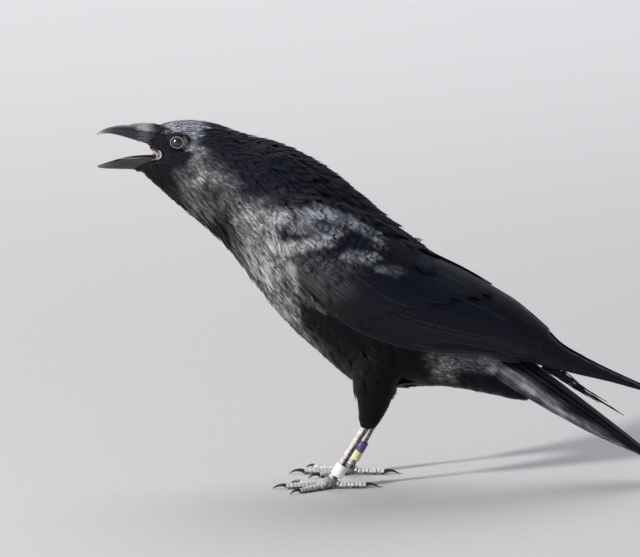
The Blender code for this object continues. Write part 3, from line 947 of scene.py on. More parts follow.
# the coat at each row of the body: spacing, length and width of a feather, depth of the coat
COAT = np.array((
    (1.25, 4.2, 1.1, 1.0), (1.35, 4.8, 1.3, 1.2), (1.55, 5.8, 1.6, 1.5), (1.8, 7.5, 2.0, 1.8),
    (2.3, 10.5, 2.8, 2.4), (2.9, 14.0, 3.9, 2.9), (3.6, 18.0, 5.6, 3.3), (4.4, 22.0, 8.2, 3.7),
    (5.0, 25.0, 10.0, 4.0), (5.2, 27.0, 10.8, 4.1), (5.2, 28.0, 11.0, 4.1),
    (5.2, 29.0, 11.0, 3.9), (5.0, 31.0, 11.0, 3.4), (4.4, 28.0, 10.0, 2.8),
    (3.6, 18.0, 8.0, 2.0),
))


@dataclass
class Skin:
    """The one skin under the coat: the flesh and wing solids joined, smoothed and drawn in."""

    voxel: float = 1.5
    overlap: float = 1.2
    rounds: int = 7
    wing_depth: float = 2.0
    thigh_depth: float = 2.2

    def __post_init__(self) -> None:
        """Names the nodes that the skin stands for."""
        sides = [side.word for side in Side]
        self.flesh = ["head", "neck", "trunk"]
        self.thighs = [f"{side}_thigh" for side in sides]
        self.wings = [f"{side}_wing_{part}" for side in sides
                      for part in ("coverts", "secondaries")]
        self.nodes = self.flesh + self.thighs + self.wings

    def swollen(self) -> list[bpy.types.Mesh]:
        """A copy of each node's mesh, swollen a little so that neighbours overlap."""
        made = []
        for name in self.nodes:
            copy = bmesh.new()
            copy.from_mesh(frame["nodes"][name].data)
            bmesh.ops.remove_doubles(copy, verts=copy.verts, dist=1e-5)
            copy.normal_update()
            moves = [v.normal * v.calc_shell_factor() * self.overlap * MM for v in copy.verts]
            for vert, move in zip(copy.verts, moves):
                vert.co += move
            made.append(bpy.data.meshes.new("swollen"))
            copy.to_mesh(made[-1])
            copy.free()
        return made

    def smoothed(self, points: Array, edges: Array) -> Array:
        """Corners moved towards the middle of their neighbours, out and back in turns."""
        for turn in range(self.rounds * 2):
            share = 0.6 if turn % 2 == 0 else -0.50
            points = points + (mean_round(points, edges) - points) * share
        return points

    def depths(self, points: Array, normals: Array) -> Array:
        """How deep the skin lies under the solids at each corner, in metres."""
        sections = np.linspace(0.0, len(BODY.rows) - 1, 240)
        middles = BODY.middle(sections)
        gaps = np.abs(points[:, None, [0, 2]] - middles[None, :, [0, 2]]).sum(axis=2)
        place = sections[gaps.argmin(axis=1)]
        depth = between(COAT, place)[:, 3] * MM
        near = 0.004
        to_body, to_wing, to_thigh = (solid.distance(points, near) for solid in self.solids)
        on_thigh = (to_thigh < to_body) & (to_thigh < near)
        depth[on_thigh] = self.thigh_depth * MM
        on_wing = (to_wing <= np.minimum(to_body, to_thigh)) & (to_wing < near)
        depth[on_wing] = self.wing_depth * MM
        whole = Surface(points, self.faces)
        spots = np.where(on_wing)[0]
        starts = points[spots] - normals[spots] * 0.0002
        ends, _, found = whole.struck(starts, -normals[spots], 0.02)
        thick = np.where(found, np.linalg.norm(ends - starts, axis=1), 0.02)
        depth[spots] = np.minimum(depth[spots], thick * 0.40 - self.overlap * MM)
        return depth

    def filled(self, points: Array, normals: Array, edges: Array) -> Array:
        """Corners raised out of the hollow before each wing, which feathers lie across."""
        x, side = points[:, 0] / MM, np.abs(points[:, 1]) / MM
        near = ease(x, -108, -92) * (1 - ease(x, -48, -34)) * ease(side, 16, 28)
        edges = edges[(near[edges] > 0).all(axis=1)]
        inside = np.unique(edges)
        points = points.copy()
        for _ in range(140):
            pull = mean_round(points, edges)[inside] - points[inside]
            rise = np.clip(dot(pull, normals[inside]), 0.0, None) * near[inside, None]
            points[inside] += normals[inside] * rise
        return points

    def hollowed(self, points: Array) -> Array:
        """Corners pushed back inside the mouth, down inside the bill and up under the nape."""
        x, y, z = ((points - at(-140.0, 0.0, 254.0)) / MM).T
        gap = np.hypot(y / 14.8, z / 9.5)
        push = 11.0 * (1 - ease(gap, 0.55, 1.0)) * (1 - ease(x, 0.0, 8.0))
        sink = np.clip(z - 12.0, 0.0, None) * 0.35 * (1 - ease(x, -6.0, 6.0))
        back = ease(x, 65.0, 92.0) * (1 - ease(x, 157.0, 180.0)) * (1 - ease(np.abs(y), 12, 34))
        rise = 2.3 * back * ease(z + 0.855 * x, 34.0, 54.0)
        return points + np.stack([push, y * 0.0, rise - sink], -1) * MM

    def build(self, finish: Plumage) -> "Skin":
        """Makes the skin and keeps its surface for the coat."""
        nodes = frame["nodes"]
        self.solids = [Surface.of(nodes[name] for name in names)
                       for names in (self.flesh, self.wings, self.thighs)]
        mesh = remeshed(self.swollen(), self.voxel)
        edges = read(mesh.edges, "vertices", 2, np.int32)
        self.faces = [list(face.vertices) for face in mesh.polygons]
        points = self.smoothed(read(mesh.vertices, "co", 3), edges)
        mesh.vertices.foreach_set("co", points.ravel())
        mesh.update()
        normals = read(mesh.vertices, "normal", 3)
        depth = self.depths(points, normals)
        for _ in range(3):
            depth = (depth + mean_round(depth, edges)) / 2
        points = self.hollowed(points - normals * (depth + self.overlap * MM)[:, None])
        mesh.vertices.foreach_set("co", points.ravel())
        mesh.update()
        mesh.shade_smooth()
        self.surface = Surface(points, self.faces)
        self.draped = Surface(self.filled(points, normals, edges), self.faces)
        # the painted highlights, kept at each corner for the material
        keep(mesh, silvery(mesh), "silver")
        shown("skin", mesh, finish.build(), "plumage", *self.nodes)
        return self


class Tip(Enum):
    """The shape of a contour feather: where it is widest, and its width at the very end."""

    SCALE = (0.58, 2.4, 0.50)
    HACKLE = (0.30, 1.5, 0.22)


@dataclass
class Batch:
    """Arrays that hold one row for each feather."""

    def kept(self, wanted: Array) -> "Batch":
        """The same arrays with only the wanted rows."""
        return type(self)(*(getattr(self, name)[wanted] for name in self.__dataclass_fields__))


@dataclass
class Plumes(Batch):
    """Many contour feathers: where they grow, which way they lie, and their sizes."""

    root: Array
    flow: Array
    length: Array
    width: Array
    depth: Array
    bake: Array


@dataclass
class Rails(Batch):
    """The line down each feather: its places, normals and headings, stop by stop."""

    middle: Array
    normal: Array
    way: Array


def bridged(lines: Array, normals: Array) -> Array:
    """Lines along a surface, pulled straight wherever it is hollow under them."""
    lines = lines.copy()
    for _ in range(6):
        pull = (lines[:, 2:] + lines[:, :-2]) / 2 - lines[:, 1:-1]
        rise = np.clip(dot(pull, normals[:, 1:-1]), 0.0, None)
        lines[:, 1:-1] += normals[:, 1:-1] * rise
    return lines


@dataclass(frozen=True)
class Barber:
    """Cuts contour feathers: each is a fan of barbs that share a root and part at the tip."""

    strips: int                  # barbs side by side
    rows: int                    # faces along each barb
    tip: Tip
    split: float = 0.62          # share of the length where the barbs begin to part
    ragged: float = 0.16         # how unevenly they end
    hug: bool = True             # whether the feather's edges follow the surface too
    root_lift: float = 0.12      # share of the depth at which the root stands
    flare: float = 0.25          # how unevenly the tips stand up

    @property
    def shares(self) -> Array:
        """Shares of the length at a feather's stops."""
        return np.linspace(0.0, 1.0, self.rows + 1)

    def half_width(self, along: Array) -> Array:
        """The half width at shares of the length, as a share of the widest."""
        widest, power, end = self.tip.value
        rising = 0.40 + 0.60 * ease(along, 0.0, widest)
        falling = np.clip((along - widest) / (1 - widest), 0.0, 1.0) ** power
        return rising * (1.0 - (1.0 - end) * falling)

    def walk(self, plumes: Plumes, surface: Surface) -> Rails:
        """Follows the surface from each root, the way the feather lies."""
        step = plumes.length / self.rows
        spot, normal = surface.nearest(plumes.root, np.full(len(step), 0.01))
        way = unit(plumes.flow - normal * dot(plumes.flow, normal))
        middles, normals, ways = [spot], [normal], [way]
        for _ in range(self.rows):
            aim = middles[-1] + ways[-1] * step[:, None]
            spot, normal = surface.nearest(aim, step * 0.75)
            lost = ~normal.any(axis=1)
            normal[lost] = normals[-1][lost]
            way = unit(spot - middles[-1])
            middles.append(spot)
            normals.append(normal)
            ways.append(unit(way - normal * dot(way, normal)))
        rails = Rails(*(np.stack(kind, 1) for kind in (middles, normals, ways)))
        normal = rails.normal
        for _ in range(2):
            normal[:, 1:-1] = unit(normal[:, :-2] + 2 * normal[:, 1:-1] + normal[:, 2:])
        rails.middle = bridged(rails.middle, normal)
        rails.way[:, :-1] = unit(np.diff(rails.middle, axis=1))
        return rails

    def even(self, plumes: Plumes, rails: Rails) -> Array:
        """Which lines bend gently and keep their stride."""
        step = plumes.length[:, None] / self.rows
        strides = np.linalg.norm(np.diff(rails.middle, axis=1), axis=2) / step
        level, straight = (dot(kind[:, 1:], kind[:, :-1])[..., 0].min(axis=1)
                           for kind in (rails.normal, rails.way))
        return ((level > 0.62) & (straight > 0.62)
                & (strides.min(axis=1) > 0.6) & (strides.max(axis=1) < 1.3))

    def rim(self, plumes: Plumes, rails: Rails, surface: Surface, sign: int) -> Array:
        """The edge of each feather on the side that the sign gives."""
        half = plumes.width[:, None] / 2 * self.half_width(self.shares)[None]
        rim = rails.middle + np.cross(rails.normal, rails.way) * (half * sign)[..., None]
        if self.hug:
            reach = np.repeat(plumes.width * 0.35, self.rows + 1)
            rim = surface.nearest(rim.reshape(-1, 3), reach)[0].reshape(rim.shape)
        return bridged(rim, rails.normal)

    def flat(self, plumes: Plumes, rails: Rails, rims: tuple[Array, Array],
             surface: Surface) -> Array:
        """Which feathers are flat and close to the surface."""
        low, high = rims
        bend = np.linalg.norm((low + high) / 2 - rails.middle, axis=2)
        level = dot(unit(np.cross(rails.way, high - low)), rails.normal)[..., 0]
        flat = (bend.max(axis=1) / plumes.width < 0.13) & (np.abs(level).min(axis=1) > 0.80)
        for line in (low, rails.middle, high):
            for row in (self.rows // 2, -1):
                flat &= surface.distance(line[:, row], 0.003) < 0.0016
        return flat

    def cut(self, plumes: Plumes, surface: Surface, seed: int) -> Patch:
        """Lays the feathers over a surface, and leaves out any that can't lie well on it.

        Args:
            plumes: the feathers.
            surface: what they lie on.
            seed: fixes their small differences.

        Returns:
            Their arrays.
        """
        rails = self.walk(plumes, surface)
        even = self.even(plumes, rails)
        plumes, rails = plumes.kept(even), rails.kept(even)
        low, high = (self.rim(plumes, rails, surface, sign) for sign in (-1, 1))
        flat = self.flat(plumes, rails, (low, high), surface)
        plumes, rails, low, high = plumes.kept(flat), rails.kept(flat), low[flat], high[flat]
        chance = np.random.default_rng(seed)
        count = len(plumes.root)
        centres = -1 + (2 * np.arange(self.strips) + 1) / self.strips
        cut_short = self.ragged * chance.random((count, self.strips)) + 0.22 * centres**2
        tips = 1.0 + self.flare * (chance.random((count, 1)) - 0.35)
        lift = self.root_lift + (1 - self.root_lift) * self.shares**0.85 * tips
        narrow = 1.06 - 0.75 * ease(self.shares, self.split, 1.0)
        across = centres[:, None, None] + np.array([-1, 1]) * narrow[:, None] / self.strips
        rise = lift[:, None, :, None] * (1 - 0.16 * across**2)
        rise = rise * plumes.depth[:, None, None, None]
        # the corners are counted by feather, strip, row and edge
        middle, normal, wide, bend = (line[:, None, :, None] for line in (
            rails.middle, rails.normal, high - low, (low + high) / 2 - rails.middle))
        corners = (middle + across[..., None] * wide / 2 + across[..., None] ** 2 * bend
                   + normal * rise[..., None])
        corners[:, :, -1] -= ((corners[:, :, -1] - corners[:, :, -2])
                              * np.clip(cut_short * self.rows, 0, 0.95)[..., None, None])
        vane = np.stack(np.broadcast_arrays(across / 2 + 0.5, self.shares[:, None]), -1)
        maps = np.broadcast_to(vane, corners.shape[:-1] + (2,))
        grid = np.arange(corners[..., 0].size).reshape(corners.shape[:-1])
        faces = np.stack([grid[:, :, :-1, 0], grid[:, :, :-1, 1],
                          grid[:, :, 1:, 1], grid[:, :, 1:, 0]], -1).reshape(-1, 4)
        bake = plumes.bake[:, None, None, None] + (maps - 0.5) * BAKE_PATCH
        tones = np.broadcast_to(chance.random(count)[:, None, None, None], grid.shape)
        return Patch(corners.reshape(-1, 3), faces, maps.reshape(-1, 2),
                     bake.reshape(-1, 2), tones.reshape(-1))


COAT_PIECES = (
    # name, first and last place along the body, and how its feathers are cut
    ("coat_face", 0.0, 2.6, Barber(3, 3, Tip.HACKLE, hug=False)),
    ("coat_head", 2.6, 4.6, Barber(4, 4, Tip.HACKLE, hug=False)),
    ("coat_neck", 4.6, 6.4, Barber(5, 5, Tip.HACKLE, ragged=0.22, flare=0.45)),
    ("coat_breast", 6.4, 9.0, Barber(7, 6, Tip.SCALE, ragged=0.14)),
    ("coat_belly", 9.0, 11.4, Barber(7, 6, Tip.SCALE, ragged=0.2)),
    ("coat_rump", 11.4, 15.0, Barber(8, 7, Tip.SCALE, ragged=0.32, flare=0.7)),
)


@dataclass
class Coat:
    """The contour feathers of head, neck and trunk, in rows round the body."""

    skin: Skin
    seed: int = 11
    jitter: float = 0.32
    eye_gap: float = 4.5

    def rows(self) -> list[float]:
        """Places along the body of the rows of feathers."""
        places = [0.0]
        while places[-1] < len(BODY.rows) - 1.02:
            here = places[-1]
            span = np.linalg.norm(BODY.middle(here + 0.02) - BODY.middle(here - 0.02)) / 0.04
            places.append(here + between(COAT, here)[0, 0] * MM * 0.92 / float(span))
        return places

    def spots(self) -> tuple[Array, Array]:
        """Places along the body and angles round it, in staggered rows."""
        chance = np.random.default_rng(self.seed)
        stations, angles = [], []
        turn = np.linspace(-np.pi, np.pi, 361)
        for index, place in enumerate(self.rows()):
            ring = BODY.point(np.full(len(turn), place), turn)
            run = np.concatenate([[0], np.cumsum(np.linalg.norm(np.diff(ring, axis=0), axis=1))])
            gap = between(COAT, place)[0, 0] * MM
            count = max(6, int(run[-1] / gap))
            marks = (np.arange(count) + 0.5 * (index % 2)) / count * run[-1]
            marks = marks + (chance.random(count) - 0.5) * gap * self.jitter * 2
            angles.append(np.interp(marks % run[-1], run, turn))
            stations.append(place + (chance.random(count) - 0.5) * self.jitter * 0.25)
        place = np.clip(np.concatenate(stations), 0.0, len(BODY.rows) - 1.001)
        return place, np.concatenate(angles)

    def clear(self, spot: Array, normal: Array) -> Array:
        """Which spots are clear of the eyes, the mouth's corners, the wings and the thighs."""
        away = spot - at(EYE[0], 0.0, EYE[2])
        clear = np.hypot(away[:, 0], away[:, 2]) > self.eye_gap * MM
        # each corner of the mouth is an oval, half 5 mm long and half 4.6 mm high
        away = (spot - at(-140.0, 0.0, 255.0)) / (5.0, 1.0, 4.6)
        clear &= (np.hypot(away[:, 0], away[:, 2]) >= MM) | (np.abs(away[:, 1]) <= 0.006)
        above = spot + normal * 0.012
        depths = []
        for solid in self.skin.solids:
            end, _, hit = solid.struck(above, -normal, 0.02)
            depths.append(np.where(hit, np.linalg.norm(end - above, axis=1), 1.0))
        flesh, wings, thighs = depths
        return clear & (flesh <= wings + 0.0012) & (flesh <= thighs)

    def roots(self) -> tuple[Plumes, Array, Array]:
        """The feathers where the skin has them, and their places and angles on the body."""
        place, angle = self.spots()
        way = BODY.up(place) * np.cos(angle)[:, None]
        way[:, 1] += np.sin(angle)
        middle = BODY.middle(place)
        spot, normal, found = self.skin.surface.struck(middle + way * 0.12, -way, 0.12)
        size = between(COAT, place)
        shell = np.linalg.norm(BODY.point(place, angle) - middle, axis=1)
        reach = np.linalg.norm(spot - middle, axis=1)
        found &= reach > (shell - size[:, 3] * MM) * 0.80
        found &= self.clear(spot, normal)
        bake = np.stack([0.02 + 0.96 * place / (len(BODY.rows) - 1),
                         0.02 + 0.96 * (angle / (2 * np.pi) + 0.5)], -1)
        plumes = Plumes(spot, BODY.flow(place, angle), size[:, 1] * MM, size[:, 2] * MM,
                        size[:, 3] * MM, bake)
        return plumes.kept(found), place[found], np.abs(angle[found])

    def varied(self, plumes: Plumes, place: Array, angle: Array) -> Plumes:
        """The feathers with uneven sizes and ways, shaggy at the throat and full at the nape."""
        chance = np.random.default_rng(self.seed + 1)
        grow = 0.85 + 0.3 * chance.random(len(place))
        throat = ease(angle, 1.7, 2.5) * ease(place, 2.0, 3.5) * (1 - ease(place, 5.5, 6.8))
        nape = (1 - ease(angle, 0.5, 1.1)) * ease(place, 4.6, 6.2) * (1 - ease(place, 9.2, 10.4))
        full = 1 + 0.9 * throat * chance.random(len(place)) + 0.4 * nape
        wide = 0.85 + 0.3 * chance.random(len(place))
        swing = (chance.random((len(place), 1)) - 0.5) * 0.36
        normal = self.skin.surface.nearest(plumes.root, np.full(len(place), 0.01))[1]
        return replace(plumes, length=plumes.length * grow * (1 + 0.8 * throat),
                       depth=plumes.depth * full, width=plumes.width * wide,
                       flow=unit(plumes.flow + np.cross(normal, plumes.flow) * swing))

    def build(self, finish: Plumage) -> None:
        """Makes the coat, in pieces from the face to the tail."""
        plumes, place, angle = self.roots()
        plumes = self.varied(plumes, place, angle)
        material = finish.build()
        for number, (name, start, end, barber) in enumerate(COAT_PIECES):
            chosen = (place >= start) & (place < end)
            patch = barber.cut(plumes.kept(chosen), self.skin.draped, self.seed * 10 + number)
            feathered(name, patch, material, "plumage")


@dataclass
class Thighs:
    """The short feathers of the two thighs, down to the ankles."""

    skin: Skin
    spacing: float = 2.7
    length: float = 12.0
    width: float = 4.4
    depth: float = 2.2
    rows: tuple = (
        # height above the ankle, half size fore and aft, half size across, shift to the tail
        (-6.2, 5.4, 4.6, -1.4), (-2.8, 7.9, 6.2, -1.2), (8.6, 11.3, 9.0, 2.0),
        (20.0, 14.6, 12.0, 3.4), (35.0, 18.0, 14.5, 4.5), (52.0, 20.0, 15.0, 6.5),
    )
    shifts: tuple = (0.0, -6.0)  # how far the left and right thighs lie towards the tail

    def roots(self, side: Side, ankle: Array, shift: float) -> Plumes:
        """The feathers of one thigh, in rings from the ankle up.

        Args:
            side: the thigh's side.
            ankle: the leg's ankle.
            shift: how far this thigh lies towards the tail, in millimetres.

        Returns:
            The feathers.
        """
        chance = np.random.default_rng(70 + side.value)
        table = np.array(self.rows)
        found = []
        for index, height in enumerate(np.arange(-5.0, 50.0, self.spacing * 0.92)):
            station = np.interp(height, table[:, 0], np.arange(len(table)))
            _, deep, wide, back = between(table, station)[0]
            count = int(2 * math.pi * math.hypot(deep, wide) / math.sqrt(2) / self.spacing)
            steps = (np.arange(count) + 0.5 * (index % 2)) / count
            turn = 2 * np.pi * (steps + (chance.random(count) - 0.5) * 0.5 / count)
            middle = ankle + np.array([back + shift, side.value * 0.1 * height, height]) * MM
            way = np.stack([-np.cos(turn) * deep, np.sin(turn) * wide, turn * 0.0], -1)
            reach = np.linalg.norm(way, axis=1, keepdims=True)
            start = middle + way / reach * (reach + 5.0) * MM
            spot, normal, hit = self.skin.surface.struck(start, -unit(way), 0.012)
            hit &= dot(normal, unit(way))[:, 0] > 0.2
            fall = np.array([0.25 * max(height, 0.0) / 50.0, 0.0, -1.0])
            size = (0.55 + 0.45 * min(1.0, (height + 6.0) / 22.0)) * MM
            length, width, depth = (np.full(count, measure) for measure in (
                self.length * size, self.width * size, self.depth * MM))
            bake = np.stack([0.05 + 0.9 * (height + 6) / 60 + steps * 0, 0.05 + 0.9 * steps], -1)
            flow = np.broadcast_to(unit(fall), spot.shape)
            found.append(Plumes(spot, flow, length, width, depth, bake).kept(hit))
        return stacked(found)

    def build(self, finish: Plumage) -> None:
        """Makes one coat piece for each thigh."""
        material = finish.build()
        barber = Barber(4, 5, Tip.HACKLE, ragged=0.25)
        for side, shift in zip(Side, self.shifts):
            foot_x, lean = FEET[side]
            tilt = math.radians(lean)
            ankle = at(foot_x + SHANK * math.sin(tilt), side.value * FOOT_Y,
                       FOOT_Z + SHANK * math.cos(tilt))
            plumes = self.roots(side, ankle, shift)
            patch = barber.cut(plumes, self.skin.surface, 90 + side.value)
            feathered(f"coat_{side.word}_thigh", patch, material, "plumage")


# ---- wings and tail


WING = Form(np.array((
    # to the tips of the inner feathers, then on along the long hand feathers
    (-50.0, 204.3, 48.5, 45.0, 23, 72, 86), (-43.5, 197.8, 50.8, 47.5, 23, 58, 98),
    (-33.9, 187.9, 54.4, 50.0, 25, 47, 104), (-13.9, 167.9, 57.0, 51.5, 26, 30, 106),
    (9.0, 148.3, 57.4, 51.5, 27, 17, 105), (32.4, 129.4, 57.6, 50.0, 28, 8, 98),
    (62.6, 122.5, 49.6, 46.0, 31, 5, 101), (89.4, 118.4, 39.6, 39.0, 30, 4, 103),
    (112.6, 112.2, 32.8, 32.0, 29, 4, 100), (129.2, 106.4, 26.8, 26.5, 28, 4, 104),
    (144.6, 100.6, 20.6, 21.0, 27, 5, 106), (158.0, 94.4, 15.2, 15.5, 27, 12, 97),
    (175.0, 87.6, 12.0, 12.0, 27, 12, 90), (193.0, 81.4, 9.2, 10.0, 27, 16, 80),
    (212.0, 75.5, 6.4, 8.6, 26, 26, 74), (226.0, 71.2, 4.6, 7.6, 25, 40, 70),
    (230.5, 69.9, 4.2, 7.4, 25, 50, 64),
)))


@dataclass(frozen=True)
class WingSheet:
    """The outside of a folded wing, by place along it and share of the way down its side."""

    side: Side

    def point(self, place: Array, share: Array) -> Array:
        """Points of the wing, where share is 0 at its upper edge and 1 at its lower one."""
        row = WING.row(place)
        angle = np.radians(row[..., 5] + (row[..., 6] - row[..., 5]) * share)
        return WING.point(place, angle * self.side.value)

    def bake(self, place: Array, share: Array) -> Array:
        """Places on the wing's own unwrap."""
        return np.stack([0.04 + 0.92 * place / 17.0, 0.06 + 0.86 * np.clip(share, 0, 1)], -1)


@dataclass(frozen=True)
class TailSheet:
    """The top of the folded tail, by place along it and share of the way to its near edge."""

    side: Side
    rows: tuple = (
        # x and z of the ridge, half width, drop of the edges
        (92.0, 128.0, 11.0, 18.0), (104.0, 119.5, 14.0, 22.0), (120.0, 108.6, 18.0, 25.0),
        (145.0, 90.2, 20.0, 22.6), (170.0, 70.9, 20.5, 17.4), (195.0, 51.2, 19.5, 11.2),
        (215.0, 35.2, 16.5, 6.2), (228.0, 24.6, 11.5, 3.0), (234.4, 19.4, 4.5, 0.7),
    )
    lean: float = 33.0

    def point(self, place: Array, share: Array) -> Array:
        """Points of the tail, where share is 0 on its ridge and 1 at this side's edge."""
        row = between(np.array(self.rows), place)
        angle = share * np.pi / 2
        fall = row[..., 3] * (1 - np.cos(angle)) * MM
        tilt = math.radians(self.lean)
        x = (row[..., 0] - CENTRE_X) * MM - fall * math.sin(tilt)
        z = row[..., 1] * MM - fall * math.cos(tilt)
        y = row[..., 2] * np.sin(angle) * MM * self.side.value
        return np.stack([x, y, z], -1)

    def bake(self, place: Array, share: Array) -> Array:
        """Places on the tail's own unwrap."""
        across = 0.5 + 0.42 * np.clip(share, -1, 1) * self.side.value
        return np.stack([0.04 + 0.92 * place / 8.5, across], -1)


Sheet = Union[WingSheet, TailSheet]


@dataclass(frozen=True)
class Cut:
    """The outline of a long feather."""

    root: float = 0.45       # width where it grows, as a share of the widest
    full: float = 0.30       # share of the length where it reaches its full width
    taper: float = 0.80      # share of the length where its tip begins
    end: float = 0.30        # width at the very tip, as a share of the widest
    power: float = 2.0
    lead: float = 0.5        # share of the width that lies below the shaft
    worn: float = 0.03       # raggedness of its edges

    def half(self, along: Array) -> Array:
        """The width at shares of the length, as a share of the widest."""
        rising = self.root + (1 - self.root) * ease(along, 0.0, self.full)
        falling = np.clip((along - self.taper) / (1 - self.taper), 0.0, 1.0) ** self.power
        return rising * (1.0 - (1.0 - self.end) * falling)


@dataclass(frozen=True)
class Rank:
    """A rank of like feathers, from the first, which lies on top, to the last."""

    count: int
    root_first: tuple
    root_last: tuple
    tip_first: tuple
    tip_last: tuple
    width: tuple             # mm, first and last
    lift: tuple              # mm above the wing at the root and tip of the first feather
    sink: float              # mm by which the last lies lower than the first
    tilt: float              # mm by which each lower edge stands higher than its upper edge
    cut: Cut
    rows: int = 20
    bow: float = 0.0         # how far its middle swings down, in shares

    def patches(self, sheet: Sheet, seed: int) -> list[Patch]:
        """The arrays of the rank's feathers.

        Args:
            sheet: the surface that they follow.
            seed: fixes their small differences.

        Returns:
            One patch for each feather.
        """
        chance = np.random.default_rng(seed)
        made = []
        for index in range(self.count):
            share = index / max(1, self.count - 1)
            root = np.array(self.root_first) * (1 - share) + np.array(self.root_last) * share
            tip = np.array(self.tip_first) * (1 - share) + np.array(self.tip_last) * share
            tip = tip + (chance.random(2) - 0.5) * (0.12, 0.02)
            width = self.width[0] * (1 - share) + self.width[1] * share
            width *= 0.95 + 0.1 * chance.random()
            lift = np.array(self.lift) - self.sink * share
            made.append(long_feather(sheet, root, tip, width, lift, self, chance))
        return made


ACROSS = np.array((-1.0, -0.86, -0.6, -0.32, -0.09, 0.0, 0.09, 0.32, 0.6, 0.86, 1.0))


def both_sides(across: Array, along: Array) -> Array:
    """The vane map of a slab: places across and along, the same on both of its sides."""
    vane = np.stack(np.broadcast_arrays(across / 2 + 0.5, along[:, None]), -1)
    return np.broadcast_to(vane, (2, *vane.shape)).reshape(-1, 2)


def vane_shares(sheet: Sheet, place: Array, share: Array, outline: Array, cut: Cut,
                rough: Array) -> Array:
    """Shares on the sheet of a vane's corners.

    Args:
        sheet: the surface that it follows.
        place: places of its rows along the sheet.
        share: shares of the shaft at those rows.
        outline: widths of the rows, in metres.
        cut: the outline that it is cut to.
        rough: how far each row's two edges are worn, as a share.

    Returns:
        The shares, row by row.
    """
    reach = sheet.point(place, share + 0.02) - sheet.point(place, share - 0.02)
    spread = np.linalg.norm(reach, axis=1) / 0.04
    parts = np.where(ACROSS < 0, ACROSS * (1 - cut.lead) * 2, ACROSS * cut.lead * 2)
    offset = parts * outline[:, None] / 2
    offset[:, 0] *= 1 + rough[:, 0]
    offset[:, -1] *= 1 + rough[:, 1]
    return share[:, None] + offset / np.maximum(spread, 1e-6)[:, None]


def vane_heights(along: Array, lift: Array, tilt: float, swing: float) -> Array:
    """Heights of a vane's corners in millimetres: its tilt, shaft, crown and slight wave."""
    height = (lift[0] + (lift[1] - lift[0]) * along)[:, None] + tilt * ACROSS / 2
    shaft = 0.42 * np.clip(1 - np.abs(ACROSS) / 0.12, 0, 1) * (1.1 - along)[:, None]
    crown = 0.35 * (1 - ACROSS**2) * ease(along, 0.0, 0.3)[:, None]
    wave = 0.10 * np.sin(along * 9.0 + swing)[:, None] * np.abs(ACROSS)
    return height + shaft + crown + wave


def long_feather(sheet: Sheet, root: Array, tip: Array, width: float, lift: Array,
                 rank: Rank, chance: np.random.Generator) -> Patch:
    """One long feather: a thin closed vane on both sides of a raised shaft.

    Args:
        sheet: the surface that it follows.
        root: its root's place and share on the sheet.
        tip: its tip's place and share.
        width: its widest, in millimetres.
        lift: how far it stands above the sheet at its root and tip, in millimetres.
        rank: the rank that it belongs to.
        chance: gives its small differences.

    Returns:
        Its arrays.
    """
    along = np.linspace(0.0, 1.0, rank.rows + 1)
    place = root[0] + (tip[0] - root[0]) * along
    share = root[1] + (tip[1] - root[1]) * along + rank.bow * np.sin(np.pi * along)
    outline = width * rank.cut.half(along) * MM
    rough = (chance.random((rank.rows + 1, 2)) - 0.5) * rank.cut.worn * 2
    shares = vane_shares(sheet, place, share, outline, rank.cut, rough)
    places = np.repeat(place[:, None], len(ACROSS), axis=1)
    flat = sheet.point(places, shares)
    step = 0.01
    fore = sheet.point(places + step, shares) - sheet.point(places - step, shares)
    down = sheet.point(places, shares + step) - sheet.point(places, shares - step)
    normal = unit(np.cross(fore, down))
    normal *= np.sign(dot(normal, np.array([0.0, sheet.side.value, 0.25])).mean()) or 1.0
    heights = vane_heights(along, lift, rank.tilt, chance.random() * 6.0)
    top = flat + normal * (heights * MM)[..., None]
    thick = (0.16 + 0.30 * (1 - np.abs(ACROSS))) * (1.05 - 0.6 * along)[:, None] * MM
    bottom = top - normal * thick[..., None]
    points, faces = slab(top, bottom)
    across_way = np.cross(top[1, 5] - top[0, 5], top[0, -1] - top[0, 0])
    if (across_way * normal[0, 5]).sum() < 0:
        faces = faces[:, ::-1]
    vane = both_sides(ACROSS, along)
    centre = sheet.bake(np.array([root[0] * 0.3 + tip[0] * 0.7]),
                        np.array([root[1] * 0.3 + tip[1] * 0.7]))
    tone = np.full(len(vane), chance.random())
    return Patch(points, faces, vane, centre + (vane - 0.5) * BAKE_PATCH, tone)


